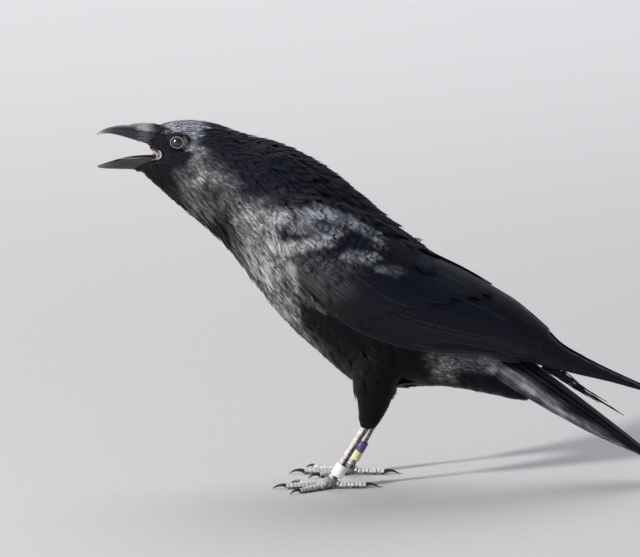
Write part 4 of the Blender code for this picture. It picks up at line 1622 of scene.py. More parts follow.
@dataclass
class Wing:
    """One folded wing: hand feathers, arm feathers, their coverts and the scapulars."""

    side: Side
    skin: Skin
    primaries: Rank = Rank(8, (6.8, 0.50), (5.4, 1.00), (12.0, 0.25), (16.05, 0.56), (15.0, 17.0),
                           (-1.3, -0.5), 0.3, 0.5, Cut(taper=0.50, end=0.10, power=1.2, lead=0.42),
                           28)
    secondaries: Rank = Rank(8, (2.6, 0.66), (1.5, 0.95), (9.9, 0.60), (9.3, 0.98), (22.0, 14.0),
                             (-1.3, -0.5), 0.6, 0.7,
                             Cut(taper=0.84, end=0.40, power=2.2, lead=0.42), 26)
    tertials: Rank = Rank(3, (3.4, 0.12), (3.2, 0.44), (10.1, 0.14), (9.6, 0.36), (27.0, 32.0),
                          (-1.3, -0.6), 0.4, 0.7,
                          Cut(taper=0.80, end=0.42, power=2.2, lead=0.46), 26)
    greater: Rank = Rank(9, (2.5, 0.40), (1.3, 0.90), (5.6, 0.58), (4.3, 0.92), (20.0, 12.0),
                         (-0.6, 0.3), 0.5, 0.6,
                         Cut(taper=0.70, end=0.35, power=2.0, worn=0.08), 20)
    middle: Rank = Rank(8, (1.6, 0.34), (1.0, 0.74), (4.2, 0.42), (3.1, 0.84), (17.0, 12.0),
                        (-0.2, 0.6), 0.3, 0.5, Cut(taper=0.58, end=0.35, power=2.0, worn=0.12), 14)
    long_scapulars: Rank = Rank(5, (3.0, 0.10), (2.6, 0.46), (7.2, 0.19), (5.6, 0.62),
                                (21.0, 22.0), (-0.6, 0.9), 0.3, 0.5,
                                Cut(taper=0.62, end=0.35, power=2.0, worn=0.10), 18)
    scapulars: Rank = Rank(6, (2.2, 0.10), (1.4, 0.42), (5.3, 0.16), (4.2, 0.54), (18.0, 19.0),
                           (-0.2, 1.1), 0.3, 0.5, Cut(taper=0.55, end=0.35, power=2.0, worn=0.14),
                           14)
    edge: Rank = Rank(4, (0.7, 0.86), (0.5, 1.0), (3.4, 0.93), (2.7, 1.0), (10.0, 8.0),
                      (-0.4, 0.5), 0.2, 0.6, Cut(taper=0.7, end=0.4, power=2.0, worn=0.08), 14)
    small_end: float = 3.7
    small_spacing: float = 5.4

    def small_coverts(self) -> Patch:
        """The scale-like feathers over the bend of the wing."""
        sheet = WingSheet(self.side)
        chance = np.random.default_rng(40 + self.side.value)
        places, shares = [], []
        place = 0.15
        row = 0
        while place < self.small_end:
            arc = float(np.linalg.norm(sheet.point(np.array([place]), np.array([0.98]))
                                       - sheet.point(np.array([place]), np.array([0.02]))))
            count = max(2, int(arc / (self.small_spacing * MM)))
            low = ease(place, 1.6, self.small_end) * 0.12
            high = 1.0 - ease(place, 1.2, self.small_end) * 0.48
            spots = low + (high - low) * (np.arange(count) + 0.5 * (row % 2)) / count
            shares.append(spots + (chance.random(count) - 0.5) * 0.25 / count)
            places.append(np.full(count, place) + (chance.random(count) - 0.5) * 0.08)
            run = float(np.linalg.norm(WING.middle(place + 0.1) - WING.middle(place - 0.1))) / 0.2
            place += self.small_spacing * MM * 0.85 / run
            row += 1
        place, share = np.concatenate(places), np.concatenate(shares)
        drawn = sheet.point(place, share)
        spot, normal = self.skin.draped.nearest(drawn, np.full(len(drawn), 0.008))
        good = dot(normal, unit(drawn - WING.middle(place)))[:, 0] > 0.45
        flow = unit(sheet.point(place + 0.06, share + 0.010) - sheet.point(place - 0.06, share))
        size = 0.85 + 0.3 * chance.random(len(spot))
        plumes = Plumes(spot, flow, 15.0 * MM * size, 8.0 * MM * size,
                        (3.0 + 0.9 * ease(place, 1.0, 2.2)) * MM, sheet.bake(place, share))
        barber = Barber(7, 6, Tip.SCALE, split=0.80, ragged=0.10)
        return barber.cut(plumes.kept(good), self.skin.draped, 50)

    def build(self, finish: Plumage, small: Plumage) -> None:
        """Makes the wing's pieces."""
        sheet = WingSheet(self.side)
        material = finish.build()
        word = self.side.word
        groups = (
            ("hand_feathers", (self.primaries,)),
            ("arm_feathers", (self.secondaries, self.tertials)),
            ("long_coverts", (self.greater, self.middle, self.edge)),
            ("shoulder_feathers", (self.long_scapulars, self.scapulars)),
        )
        for number, (name, ranks) in enumerate(groups):
            patches = [patch for step, rank in enumerate(ranks)
                       for patch in rank.patches(sheet, 200 + number * 10 + step)]
            nodes = [f"{word}_wing_primaries"] if name == "hand_feathers" else []
            feathered(f"{word}_{name}", joined(patches), material, "wing_feathers", *nodes)
        feathered(f"{word}_small_coverts", self.small_coverts(), small.build(), "wing_feathers")


@dataclass
class Tail:
    """Twelve tail feathers, the middle pair on top, and the worn strands above them."""

    half: Rank = Rank(6, (0.6, 0.10), (0.9, 0.80), (8.45, 0.10), (7.75, 0.90), (15.0, 12.5),
                      (-0.4, -0.2), 2.6, 1.0,
                      Cut(root=0.6, taper=0.86, end=0.30, power=2.0, lead=0.42, worn=0.05), 30)
    worn: tuple = (
        # x and z of each strand's root and tip, its width, and its y
        (148.8, 92.1, 210.5, 53.2, 2.9, -8.0), (150.0, 95.0, 184.2, 71.7, 3.0, -7.0),
        (149.0, 94.0, 197.7, 64.0, 2.2, -8.5), (148.0, 91.0, 191.7, 63.2, 1.8, -9.5),
        (152.0, 97.0, 176.7, 78.6, 1.6, -7.5),
    )

    def build(self, finish: Plumage) -> None:
        """Makes the tail."""
        patches = [patch for side in Side
                   for patch in self.half.patches(TailSheet(side), 300 + side.value)]
        material = finish.build()
        feathered("tail_feathers", joined(patches), material, "wing_feathers", "tail")
        feathered("worn_strands", joined(self.strands()), material, "wing_feathers")

    def strands(self) -> list[Patch]:
        """The frayed strips that stand off the tail beside the tips of the wing."""
        made = []
        for index, (x, z, end_x, end_z, width, y) in enumerate(self.worn):
            share = np.linspace(0.0, 1.0, 25)[:, None]
            line = at(x, y, z) * (1 - share) + at(end_x, y - 1.0, end_z) * share
            line[:, 2] += np.sin(share[:, 0] * 9.0 + index * 2.0) * 0.35 * share[:, 0] * MM
            half = width / 2 * (1 - 0.85 * share**2) * (1 + 0.2 * np.sin(share * 31 + index)) * MM
            across = np.array([-1.0, 0.0, 1.0])
            top = line[:, None] + np.array([0.5, 0.0, 0.86]) * (across * half)[..., None]
            top[:, 1, 1] -= 0.2 * MM
            points, faces = slab(top, top + np.array([0.0, 0.35 * MM, 0.0]))
            vane = both_sides(across, share[:, 0])
            spot = np.array([0.1 + 0.1 * index, 0.03])
            made.append(Patch(points, faces, vane, spot + (vane - 0.5) * BAKE_PATCH,
                              np.full(len(vane), 0.8)))
        return made


# ---- node-built repeats


class Grower(NodeMaker):
    """A Geometry Nodes tree that sets a shape at every point, as the point says."""

    def __init__(self, name: str, sizes: dict[str, tuple[str, object]]) -> None:
        """Builds the tree.

        Args:
            name: the tree's name.
            sizes: for each named input, its socket type and its value.
        """
        super().__init__(bpy.data.node_groups.new(name, "GeometryNodeTree"))
        face = self.tree.interface
        face.new_socket("Geometry", in_out="INPUT", socket_type="NodeSocketGeometry")
        face.new_socket("Geometry", in_out="OUTPUT", socket_type="NodeSocketGeometry")
        self.values = {}
        for label, (kind, value) in sizes.items():
            socket = face.new_socket(label, in_out="INPUT", socket_type=kind)
            self.values[socket.identifier] = value
        self.plant(self.node("NodeGroupInput").outputs)

    def plant(self, given: bpy.types.NodeOutputs) -> None:
        """Adds the nodes, which end by realizing the copies and setting their finish."""
        lie, facing, size = (
            self.node("GeometryNodeInputNamedAttribute", {"data_type": "FLOAT_VECTOR"},
                      {"Name": label}).outputs["Attribute"] for label in ("lie", "facing", "size"))
        shape = self.node("GeometryNodeObjectInfo", None, {"Object": given["Shape"]})
        along = self.node("FunctionNodeAlignRotationToVector", {"axis": "X"}, {"Vector": lie})
        turn = self.node("FunctionNodeAlignRotationToVector", {"axis": "Z", "pivot_axis": "X"},
                         {"Rotation": along.outputs[0], "Vector": facing})
        low, high = (self.node("ShaderNodeMath", {"operation": kind},
                               {0: 1.0, 1: given["Spread"]}).outputs[0]
                     for kind in ("SUBTRACT", "ADD"))
        # sockets 2 and 3 are the least and most of a plain number, and output 1 is the number
        chance = self.node("FunctionNodeRandomValue", {"data_type": "FLOAT"},
                           {2: low, 3: high, "Seed": given["Seed"]})
        scale = self.node("ShaderNodeVectorMath", {"operation": "SCALE"},
                          {0: size, "Scale": chance.outputs[1]})
        copies = self.node("GeometryNodeInstanceOnPoints", None, {
            "Points": given["Geometry"], "Instance": shape.outputs["Geometry"],
            "Rotation": turn.outputs[0], "Scale": scale.outputs[0]})
        real = self.node("GeometryNodeRealizeInstances", None, {0: copies.outputs[0]})
        painted = self.node("GeometryNodeSetMaterial", None,
                            {"Geometry": real.outputs[0], "Material": given["Finish"]})
        self.node("NodeGroupOutput", None, {0: painted.outputs[0]})


@dataclass
class Growth:
    """A piece made of one small shape set at many spots.

    Each spot is a place, the way the shape lies, the way it faces, and its size. The shape
    is a unit long towards +X and faces +Z.
    """

    name: str
    shape: bpy.types.Mesh
    finish: bpy.types.Material
    slot: str
    spots: list
    tone: float = 0.5
    spread: float = 0.15     # how much the size varies, as a share
    seed: int = 3

    def build(self) -> None:
        """Sets the shapes with a node tree and shows the result as a plain piece."""
        places, lies, ups, sizes = (np.array(kind, float) for kind in zip(*self.spots))
        base = bpy.data.meshes.new(f"{self.name}_spots")
        base.vertices.add(len(places))
        base.vertices.foreach_set("co", places.astype(np.float32).ravel())
        for label, values in (("lie", unit(lies)), ("facing", unit(ups)), ("size", sizes)):
            kept = base.attributes.new(label, "FLOAT_VECTOR", "POINT")
            kept.data.foreach_set("vector", values.astype(np.float32).ravel())
        helper = placed(f"{self.name}_shape", self.shape)
        grower = Grower(f"{self.name}_tree", {
            "Shape": ("NodeSocketObject", helper),
            "Finish": ("NodeSocketMaterial", self.finish),
            "Spread": ("NodeSocketFloat", self.spread), "Seed": ("NodeSocketInt", self.seed),
        })
        holder = placed(f"{self.name}_base", base)
        change = holder.modifiers.new("grow", "NODES")
        change.node_group = grower.tree
        for identifier, value in grower.values.items():
            change[identifier] = value
        mesh = plain(holder)
        bpy.data.objects.remove(helper)
        mesh.name = self.name
        keep(mesh, self.tone)
        mesh.shade_smooth()
        shown(self.name, mesh, self.finish, self.slot)


# ---- head


@dataclass
class Eye:
    """One eye deep in its socket, the lids round it, and the fringe of feathers on them."""

    side: Side
    radius: float = 6.3
    aperture: float = 3.85
    stretch: float = 1.15        # how much wider the lids are than high

    def __post_init__(self) -> None:
        """Works out where the eye looks, and the profile of its lids."""
        self.middle = at(EYE[0], self.side.value * EYE[1], EYE[2])
        self.axis = unit(np.array([-0.16, self.side.value * 1.0, 0.06]))
        self.fore, self.up = square_to(self.axis)
        self.height = math.sqrt(self.radius**2 - self.aperture**2)
        gap, height = self.aperture, self.height
        self.rim = [
            (gap, height - 0.45), (gap - 0.02, height + 0.12), (gap + 0.14, height + 0.36),
            (gap + 0.42, height + 0.40), (gap + 0.62, height + 0.20),
            (gap + 0.85, height - 0.06), (gap + 1.15, height - 0.02),
            (gap + 1.55, height - 0.20), (gap + 2.05, height - 0.62),
            (6.36, 3.75), (6.71, 3.25), (7.16, 2.45), (7.70, 1.35), (7.50, 0.55),
            (6.00, 1.20), (5.00, 3.05),
        ]

    def ring(self, far: float, height: float, columns: int, stretch: float = 1.0) -> Array:
        """A ring of points round the eye's axis, this far from it and this high along it."""
        return oval(self.middle + self.axis * height * MM, self.fore * far * stretch * MM,
                    self.up * far * MM, columns)

    def ball(self) -> None:
        """Makes the eyeball, with the bulge of its clear front."""
        loops = []
        for turn in np.linspace(0.02, math.pi - 0.02, 40):
            bulge = 0.45 * math.exp(-(turn / 0.62) ** 4)
            loops.append(self.ring((self.radius + bulge * 0.5) * math.sin(turn),
                                   (self.radius + bulge) * math.cos(turn), 40))
        word = self.side.word
        finish = EyeBall(f"{word}_eye_finish", tuple(self.middle), tuple(self.axis))
        mesh = lofted(f"{word}_eyeball", loops)
        shown(mesh.name, mesh, finish.build(), "eye", f"{word}_eye")

    def lids(self, finish: BareSkin) -> None:
        """Makes the lids, pale along their opening."""
        mesh = turned(f"{self.side.word}_lids", self.middle, self.axis, self.rim, 56,
                      self.stretch)
        along = (read(mesh.vertices, "co", 3) - self.middle) @ self.axis / MM
        keep(mesh, ease(along, self.height + 0.16, self.height + 0.34))
        shown(mesh.name, mesh, finish.build(), "plumage")

    def fringe(self) -> list[tuple]:
        """The spots of the fine feathers that lie back over the lids."""
        skirt = np.array(self.rim[5:12])
        spots = []
        for far in np.linspace(self.aperture + 1.0, 5.7, 4):
            rise = float(np.interp(far, skirt[:, 0], skirt[:, 1]))
            for spot in self.ring(far, rise, 48, self.stretch):
                way = unit(spot - self.middle - self.axis * rise * MM)
                lie = way * 0.4 + np.array([0.9, 0.0, -0.25]) - self.axis * 0.15
                spots.append((spot, lie, self.axis, (2.2 * MM, 0.34 * MM, 0.20 * MM)))
        return spots


@dataclass
class Head:
    """Bills, mouth, tongue, eyes with their lids, and the bristles over the nostrils."""

    upper: tuple = (
        # x, z of the ridge, z of the cutting edge, half width
        (-185.6, 267.9, 266.9, 0.5), (-184.2, 268.9, 267.4, 1.1), (-181.0, 270.8, 268.3, 2.1),
        (-176.0, 272.7, 268.6, 3.2), (-168.0, 274.2, 267.3, 4.8), (-158.0, 274.4, 264.6, 6.4),
        (-148.0, 274.9, 261.7, 7.8), (-140.5, 274.8, 257.8, 8.6),
    )
    lower: tuple = (
        # x, z of the cutting edge, z of the underside, half width
        (-185.2, 243.3, 242.3, 0.5), (-183.6, 244.0, 241.9, 1.2), (-178.0, 245.7, 241.3, 2.6),
        (-170.0, 247.9, 241.1, 4.2), (-160.0, 249.8, 240.8, 5.9), (-149.0, 250.4, 239.5, 7.4),
        (-141.0, 250.2, 238.6, 8.2),
    )
    stations: int = 40           # rings along a bill
    arch: int = 28               # steps over its ridge

    def bill_loop(self, x: float, edge: float, ridge: float, half: float, hollow: float) -> Array:
        """One ring of a bill: over its ridge, then back across its hollow inner face."""
        turn = np.linspace(0.0, np.pi, self.arch + 1)
        keel = 1.0 - 0.10 * np.sin(turn) ** 6
        outer = np.stack([turn * 0 + x, half * np.cos(turn) * keel,
                          edge + (ridge - edge) * np.sin(turn) ** 0.9], -1)
        share = np.linspace(-0.86, 0.86, 9)
        rise = hollow * (ridge - edge) * np.cos(share / 0.86 * np.pi / 2) ** 0.7
        inner = np.stack([share * 0 + x, share * half, edge + rise], -1)
        return np.array([at(*point) for point in np.concatenate([outer, inner])])

    def bill(self, name: str, rows: tuple, hollow: float, upright: int) -> None:
        """Makes one bill and its horn.

        Args:
            name: the node that it replaces.
            rows: its table.
            hollow: depth of its hollow as a share of its height.
            upright: 1 where the second column is the ridge, and -1 where it is the edge.
        """
        table = np.array(rows)
        loops = []
        for place in np.linspace(0.0, len(rows) - 1, self.stations):
            x, first, second, half = between(table, place)[0]
            ridge, edge = (first, second) if upright > 0 else (second, first)
            loops.append(self.bill_loop(x, edge, ridge, half, hollow))
        mesh = lofted(f"{name}_horn", loops, (0.0003, 0.0), 38.0)
        # the bill is painted paler towards its tip, a painted highlight
        horn = Horn(f"{name}_finish", tip_x=(table[0, 0] - CENTRE_X) * MM, tip_reach=0.014,
                    dark=(0.014, 0.016, 0.024) if upright > 0 else (0.018, 0.017, 0.018),
                    dust=0.25 if upright > 0 else 0.6)
        shown(f"{name}_horn", mesh, horn.build(), "bill_horn", name)

    def mouth(self) -> None:
        """Makes the lining that closes the back of the mouth: dark in its middle as a painted
        shade of the deep throat, with pale corners.
        """
        loops, tones = [], []
        for side in np.linspace(-1.0, 1.0, 25):
            near = abs(side)
            depth = 9.0 * (1 - near**2.4)
            start = -146.0 + 2.5 * near**6
            line = []
            for share in np.linspace(0.0, 1.0, 19):
                turn = math.pi * (share - 0.5)
                back = math.cos(turn) ** 0.8
                x = start + (-140.6 + depth - start) * back
                z = 254.0 + 5.6 * math.sqrt(1 - 0.72 * near**3) * math.sin(turn) - 0.4 * back
                line.append((x, side * 13.9, z))
                # painted shade: the lining stays dark in the middle of the mouth and turns pale
                # only towards its corners
                tones.append(float(ease(near, 0.66, 0.98) * (0.45 + 0.55 * back)))
            loops.append([at(*point) for point in line])
        front = np.array(loops)
        points, faces = slab(front, front + np.array([0.0006, 0.0, 0.0]))
        form = bmesh.new()
        corners = [form.verts.new(point) for point in points]
        for face in faces:
            form.faces.new([corners[corner] for corner in face])
        mesh = meshed("mouth_lining", form)
        keep(mesh, tones * 2)
        flesh = BareSkin("mouth_finish", (0.032, 0.019, 0.021), (0.50, 0.40, 0.41), 0.6,
                         1500.0, 0.14, specular=0.2)
        shown("mouth_lining", mesh, flesh.build(), "mouth_skin")

    def gapes(self) -> None:
        """Makes the web of skin at each corner of the mouth, with its pale lip."""
        flesh = BareSkin("gape_finish", (0.045, 0.030, 0.033), (0.66, 0.59, 0.61), 0.35, 1800.0,
                         0.45, 0.3)
        material = flesh.build()
        circle = np.linspace(0.0, 2 * np.pi, 24, endpoint=False)
        for side in Side:
            loops, tones = [], []
            for turn in np.linspace(-2.0, 1.4, 33):
                swell = math.cos((turn + 0.3) / 1.7 * math.pi / 2) ** 0.8
                reach = 3.8 - (0.5 + 3.1 * swell) * (1 - np.cos(circle)) / 2
                lip = ease(np.cos(circle), 0.35, 0.72) * swell
                x = -140.4 + reach * math.cos(turn)
                z = 254.7 + reach * math.sin(turn) * 1.02
                wide = (13.0 + 0.30 * (x + 144.5)) * (1 - 0.0012 * (z - 254.4) ** 2)
                thick = np.sin(circle) * (0.22 + 0.25 * swell) * (1 + 0.8 * lip)
                loops.append(np.array([at(*spot) for spot in
                                       zip(x, side.value * (wide + thick), z)]))
                tones += (0.14 + 0.86 * lip).tolist()
            mesh = lofted(f"{side.word}_gape", loops, sharp=80.0)
            keep(mesh, tones + [0.0, 0.0])
            shown(f"{side.word}_gape", mesh, material, "mouth_skin")

    def tongue(self) -> None:
        """Makes the dark tongue, a blade with a groove down its middle."""
        loops = []
        for share in np.linspace(0.0, 0.985, 22):
            wide = 3.0 * math.sqrt(1 - share**2) * (1 - 0.3 * share)
            high = 1.05 * (1 - 0.6 * share)
            turn = np.linspace(0.0, 2 * np.pi, 24, endpoint=False)
            groove = 0.35 * np.clip(np.sin(turn), 0, 1) * np.exp(-(np.cos(turn) / 0.25) ** 2)
            loops.append(np.array([
                at(-144.5 - 24.0 * share, wide * math.cos(a),
                   248.3 + high * math.sin(a) - dip * high + 0.7 * math.sin(share * 2.4))
                for a, dip in zip(turn, groove)]))
        mesh = lofted("tongue_blade", loops, (0.0, 0.0003), 60.0)
        keep(mesh, 0.35)
        flesh = BareSkin("tongue_finish", (0.020, 0.016, 0.017), (0.20, 0.14, 0.14), 0.30,
                         2600.0, 0.3, 0.6)
        shown("tongue_blade", mesh, flesh.build(), "mouth_skin", "tongue")

    def eyes(self) -> None:
        """Makes both eyes and the fringe round them."""
        lids = BareSkin("lid_finish", (0.005, 0.005, 0.006), (0.30, 0.285, 0.28), 0.5, 2600.0,
                        0.15, specular=0.2)
        fringe = []
        for eye in (Eye(side) for side in Side):
            eye.ball()
            eye.lids(lids)
            fringe += eye.fringe()
        # the fringe is painted pale towards its rear, a painted highlight that carries the cheek's
        # painted highlights up to the lid
        self.hairs("lid_fringe", fringe, Horn(
            "fringe_finish", dark=(0.004, 0.004, 0.006), pale=(0.26, 0.265, 0.29), roughness=0.5,
            tip_x=at(-117.5, 0, 0)[0], tip_reach=-0.0045, dust=0.05, specular=0.1))

    def bristles(self) -> None:
        """Makes the stiff bristles that lie forward over the nostrils."""
        chance = np.random.default_rng(5)
        upper, lower = [], []
        for _ in range(640):
            turn = math.radians(chance.uniform(-86, 86))
            back = chance.uniform(0.0, 11.5)
            late = float(ease(back, 5.0, 11.0))
            out, rise = math.sin(turn), max(0.0, math.cos(turn)) ** 0.9
            place = at(-148.0 + back, (9.3 + back * 0.20 - late) * out,
                       262.2 + (13.0 - 1.3 * late) * rise)
            lie = (-1.0, (0.16 * late - 0.22) * out + chance.normal(0, 0.06),
                   (0.15 * late - 0.05) * rise + chance.normal(0, 0.04))
            long = (12.5 - 5.0 * abs(out)) * chance.uniform(0.6, 1.2) * MM
            row = (place, lie, (0.0, out, rise), (long, 0.42 * MM, 0.36 * MM))
            (upper if abs(turn) < 0.85 else lower).append(row)
        pale = Horn("bristle_finish", dark=(0.008, 0.008, 0.010), pale=(0.48, 0.47, 0.48),
                    roughness=0.42, dust=0.8, tip_x=at(-150, 0, 0)[0], tip_reach=0.010,
                    specular=0.25)
        self.hairs("bristles", upper, pale)
        self.hairs("side_bristles", lower, replace(
            pale, name="side_bristle_finish", pale=(0.10, 0.10, 0.105)))

    def hairs(self, name: str, spots: list[tuple], finish: Horn) -> None:
        """Sets a bristle at every spot: tapered, and bent away from what it faces."""
        loops = []
        for share in np.linspace(0.0, 1.0, 6):
            size = 1.0 - 0.86 * share
            middle = np.array([share, 0.0, 0.0])
            ring = oval(middle, np.array([0.0, size, 0.0]), np.array([0.0, 0.0, size]), 5)
            ring[:, 2] += 0.9 * math.sin(share * 2.6)
            loops.append(ring)
        Growth(name, lofted("hair", loops), finish.build(), "plumage", spots).build()

    def build(self) -> None:
        """Makes every piece of the head."""
        self.bill("upper_bill", self.upper, 0.20, 1)
        self.bill("lower_bill", self.lower, 0.38, -1)
        self.mouth()
        self.gapes()
        self.tongue()
        self.eyes()
        self.bristles()


# ---- legs


@dataclass(frozen=True)
class Toe:
    """One toe: its turn outward, length and root radius, and its claw's length."""

    name: str
    turn: float
    length: float
    radius: float
    claw: float
    joints: tuple


@dataclass(frozen=True)
class Band:
    """One leg band: its node, its distance up the leg, its sizes and its finish."""

    node: str
    distance: float
    length: float
    radius: float
    wall: float
    finish: Ring


@dataclass
class Leg:
    """A bare leg with its scutes, its four toes with pads and claws, and its bands."""

    side: Side
    turn_out: float              # degrees, of the whole foot
    scale: float                 # of the toes' lengths
    bands: tuple
    skin_finish: bpy.types.Material
    claw_finish: bpy.types.Material
    height: float = FOOT_Z       # mm, of the foot's ball
    shank: tuple = (
        # distance along the leg, half size fore and aft, half size across
        (2.2, 3.2, 3.0), (4.7, 3.3, 3.0), (9.0, 2.9, 2.5), (20.0, 2.7, 2.2), (38.0, 2.6, 2.1),
        (49.0, 2.9, 2.3), (57.0, 3.8, 3.2), (60.5, 2.4, 2.0),
    )
    toes: tuple = (
        Toe("inner", -27.0, 23.0, 2.7, 9.5, (0.42,)),
        Toe("middle", 0.0, 32.0, 3.0, 11.0, (0.36, 0.68)),
        Toe("outer", 31.0, 27.0, 2.7, 9.0, (0.30, 0.54, 0.77)),
        Toe("hind", 180.0, 26.0, 3.0, 11.0, (0.50,)),
    )
    drop: float = 7.0            # mm along a toe in which it comes down to the floor
    taper: float = 0.70          # a toe's thickness at its end, as a share of its root's
    sink: float = 0.86           # its middle's height, as a share of its half thickness

    def __post_init__(self) -> None:
        """Works out where the leg stands and which way it leans."""
        foot_x, lean = FEET[self.side]
        tilt = math.radians(lean)
        self.base = at(foot_x, self.side.value * FOOT_Y, self.height)
        self.up = np.array([math.sin(tilt), 0.0, math.cos(tilt)])
        self.forward = np.array([-math.cos(tilt), 0.0, math.sin(tilt)])
        self.across = np.array([0.0, 1.0, 0.0])
        self.scutes = []

    def named(self, part: str) -> str:
        """The name of one of this leg's pieces or nodes."""
        return f"{self.side.word}_{part}"

    def make_shank(self) -> None:
        """Makes the bare leg, keeled behind, and notes the scutes down its front."""
        table = np.array(self.shank)
        loops = []
        for place in np.linspace(0.0, len(table) - 1, 44):
            distance, deep, wide = between(table, place)[0]
            turn = np.linspace(0.0, 2 * np.pi, 28, endpoint=False)
            keel = 1.0 - 0.22 * np.clip(-np.cos(turn), 0, 1) ** 2 * np.abs(np.sin(turn))
            ring = (self.base + self.up * distance * MM
                    + self.forward * (np.cos(turn) * deep * keel)[:, None] * MM
                    + self.across * (np.sin(turn) * wide * keel)[:, None] * MM)
            loops.append(ring)
        mesh = lofted(self.named("bare_leg"), loops, (0.0, 0.001), 70.0)
        keep(mesh, 0.20)
        shown(mesh.name, mesh, self.skin_finish, "leg_skin", self.named("shank"))
        distance = 6.0
        while distance < 56.0:
            place = np.interp(distance, table[:, 0], np.arange(len(table)))
            _, deep, wide = between(table, place)[0]
            middle = self.base + self.up * distance * MM + self.forward * (deep * 0.18) * MM
            size = np.array([4.4, wide * 1.10, deep * 0.95]) * MM
            self.scutes.append((middle, -self.up, self.forward, size))
            distance += 4.5

    def heading(self, toe: Toe) -> tuple[Array, Array]:
        """The way that a toe points, and the level way square to it."""
        angle = math.radians(toe.turn + self.turn_out)
        way = np.array([-math.cos(angle), self.side.value * math.sin(angle), 0.0])
        return way, np.array([-way[1], way[0], 0.0])

    def bone(self, toe: Toe, distance: float) -> tuple[float, float]:
        """The half thickness and the height of a toe at a distance along it."""
        size = toe.radius * (1 - (1 - self.taper) * distance / (toe.length * self.scale))
        low = min(1.0, distance / self.drop)
        return size, self.height + (self.sink * size - self.height) * low

    def make_toe(self, toe: Toe) -> list[Array]:
        """Makes the rings of one toe, with a pad under each bone, and notes its scutes."""
        way, sideways = self.heading(toe)
        length = toe.length * self.scale
        loops = []
        for distance in np.linspace(0.0, length, 34):
            size, height = self.bone(toe, distance)
            nearest = min(abs(distance / length - joint) for joint in toe.joints)
            waist = 1.0 - 0.13 * math.exp(-(nearest / 0.045) ** 2)
            turn = np.linspace(0.0, 2 * np.pi, 20, endpoint=False)
            ring = (self.base * (1, 1, 0) + way * distance * MM
                    + sideways * (np.cos(turn) * size * waist)[:, None] * MM)
            rise = height + np.sin(turn) * size * np.where(np.sin(turn) < 0, waist, 1.0)
            ring[:, 2] = np.maximum(rise, 0.02) * MM
            loops.append(ring)
        distance = self.drop * 0.55
        while distance < length - 0.6:
            size, height = self.bone(toe, distance)
            falls = distance < self.drop
            slope = -(self.height - self.sink * size) / self.drop * 0.6 * falls
            lie = unit(way + np.array([0, 0, slope]))
            middle = self.base * (1, 1, 0) + way * distance * MM
            middle[2] = (height + size * 0.12) * MM
            size = np.array([2.6, size * 1.02, size * 1.02]) * MM
            self.scutes.append((middle, lie, (0.0, 0.0, 1.0), size))
            distance += 2.95
        return loops

    def make_claw(self, toe: Toe) -> None:
        """Makes one claw, which arches from the end of its toe to just above the floor."""
        way, sideways = self.heading(toe)
        root = toe.radius * self.taper
        start = self.base + way * (toe.length * self.scale - 0.9) * MM
        start[2] = self.sink * root * MM
        reach = toe.claw + 1.2
        loops = []
        for share in np.linspace(0.0, 1.0, 18):
            low, high, tip = (1 - share) ** 2, 2 * share * (1 - share), share**2
            middle = start + way * reach * (0.45 * high + tip) * MM
            rise = self.sink * root * low + (self.sink * root + 3.4) * high + 0.55 * tip
            middle[2] = rise * MM
            size = root * 0.80 * (1 - share**1.3) + 0.30 * share
            slope = math.atan2(2 * (1 - share) * 3.4 + 2 * share * (0.55 - self.sink * root - 3.4),
                               2 * reach * ((1 - share) * 0.45 + share * 0.55))
            swing = slope * min(1.0, share * 3)
            upward = np.array([0, 0, math.cos(swing)]) - way * math.sin(swing)
            ring = oval(middle, sideways * size * 0.72 * MM, upward * size * MM, 16)
            ring[:, 2] = np.maximum(ring[:, 2], 0.00004)
            loops.append(ring)
        mesh = lofted(self.named(f"{toe.name}_nail"), loops, (0.0, 0.0002), 70.0)
        shown(mesh.name, mesh, self.claw_finish, "claw_horn", self.named(f"{toe.name}_claw"))

    def make_foot(self) -> None:
        """Makes the ball and the toes as one closed skin."""
        solids = [lofted("toe", self.make_toe(toe)) for toe in self.toes]
        ball = []
        for turn in np.linspace(0.08, math.pi - 0.08, 16):
            middle = self.base + np.array([0, 0, (0.9 + math.cos(turn) * 4.9) * MM])
            ball.append(oval(middle, np.array([math.sin(turn) * 5.3 * MM, 0, 0]),
                             np.array([0, math.sin(turn) * 4.6 * MM, 0]), 24))
        mesh = remeshed(solids + [lofted("ball", ball)], 0.42, 3)
        heights = read(mesh.vertices, "co", 3)[:, 2]
        keep(mesh, 0.22 + 0.10 * ease(heights, 0.001, 0.005))
        mesh.shade_smooth()
        shown(self.named("toes"), mesh, self.skin_finish, "leg_skin", self.named("foot"))

    def scute_shape(self) -> bpy.types.Mesh:
        """One scute a unit long: half a hoop whose far edge stands a little proud."""
        turn = np.linspace(-1.6, 1.6, 11)
        loops = []
        for share, swell in ((0.0, 0.90), (0.25, 1.0), (0.75, 1.07), (1.0, 1.04)):
            outer = np.stack([turn * 0 + share, np.sin(turn) * swell, np.cos(turn) * swell], -1)
            inner = outer[::-1] * (1.0, 0.80, 0.80)
            loops.append(np.concatenate([outer, inner]))
        return lofted("scute", loops)

    def make_bands(self) -> None:
        """Makes the rings that the leg wears, each resting against its front."""
        for band in self.bands:
            outer, inner = band.radius, band.radius - band.wall
            middle = self.base + (self.up * band.distance - self.forward * (inner - 3.1)) * MM
            half, soft = band.length / 2, 0.22
            profile = [
                (outer - soft, half), (outer, half - soft), (outer, -half + soft),
                (outer - soft, -half), (inner + soft, -half), (inner, -half + soft),
                (inner, half - soft), (inner + soft, half),
            ]
            mesh = turned(f"{band.node}_ring", middle, self.up, profile, 64)
            shown(mesh.name, mesh, band.finish.build(), band.finish.name, band.node)

    def build(self) -> None:
        """Makes every piece of the leg."""
        self.make_shank()
        self.make_foot()
        for toe in self.toes:
            self.make_claw(toe)
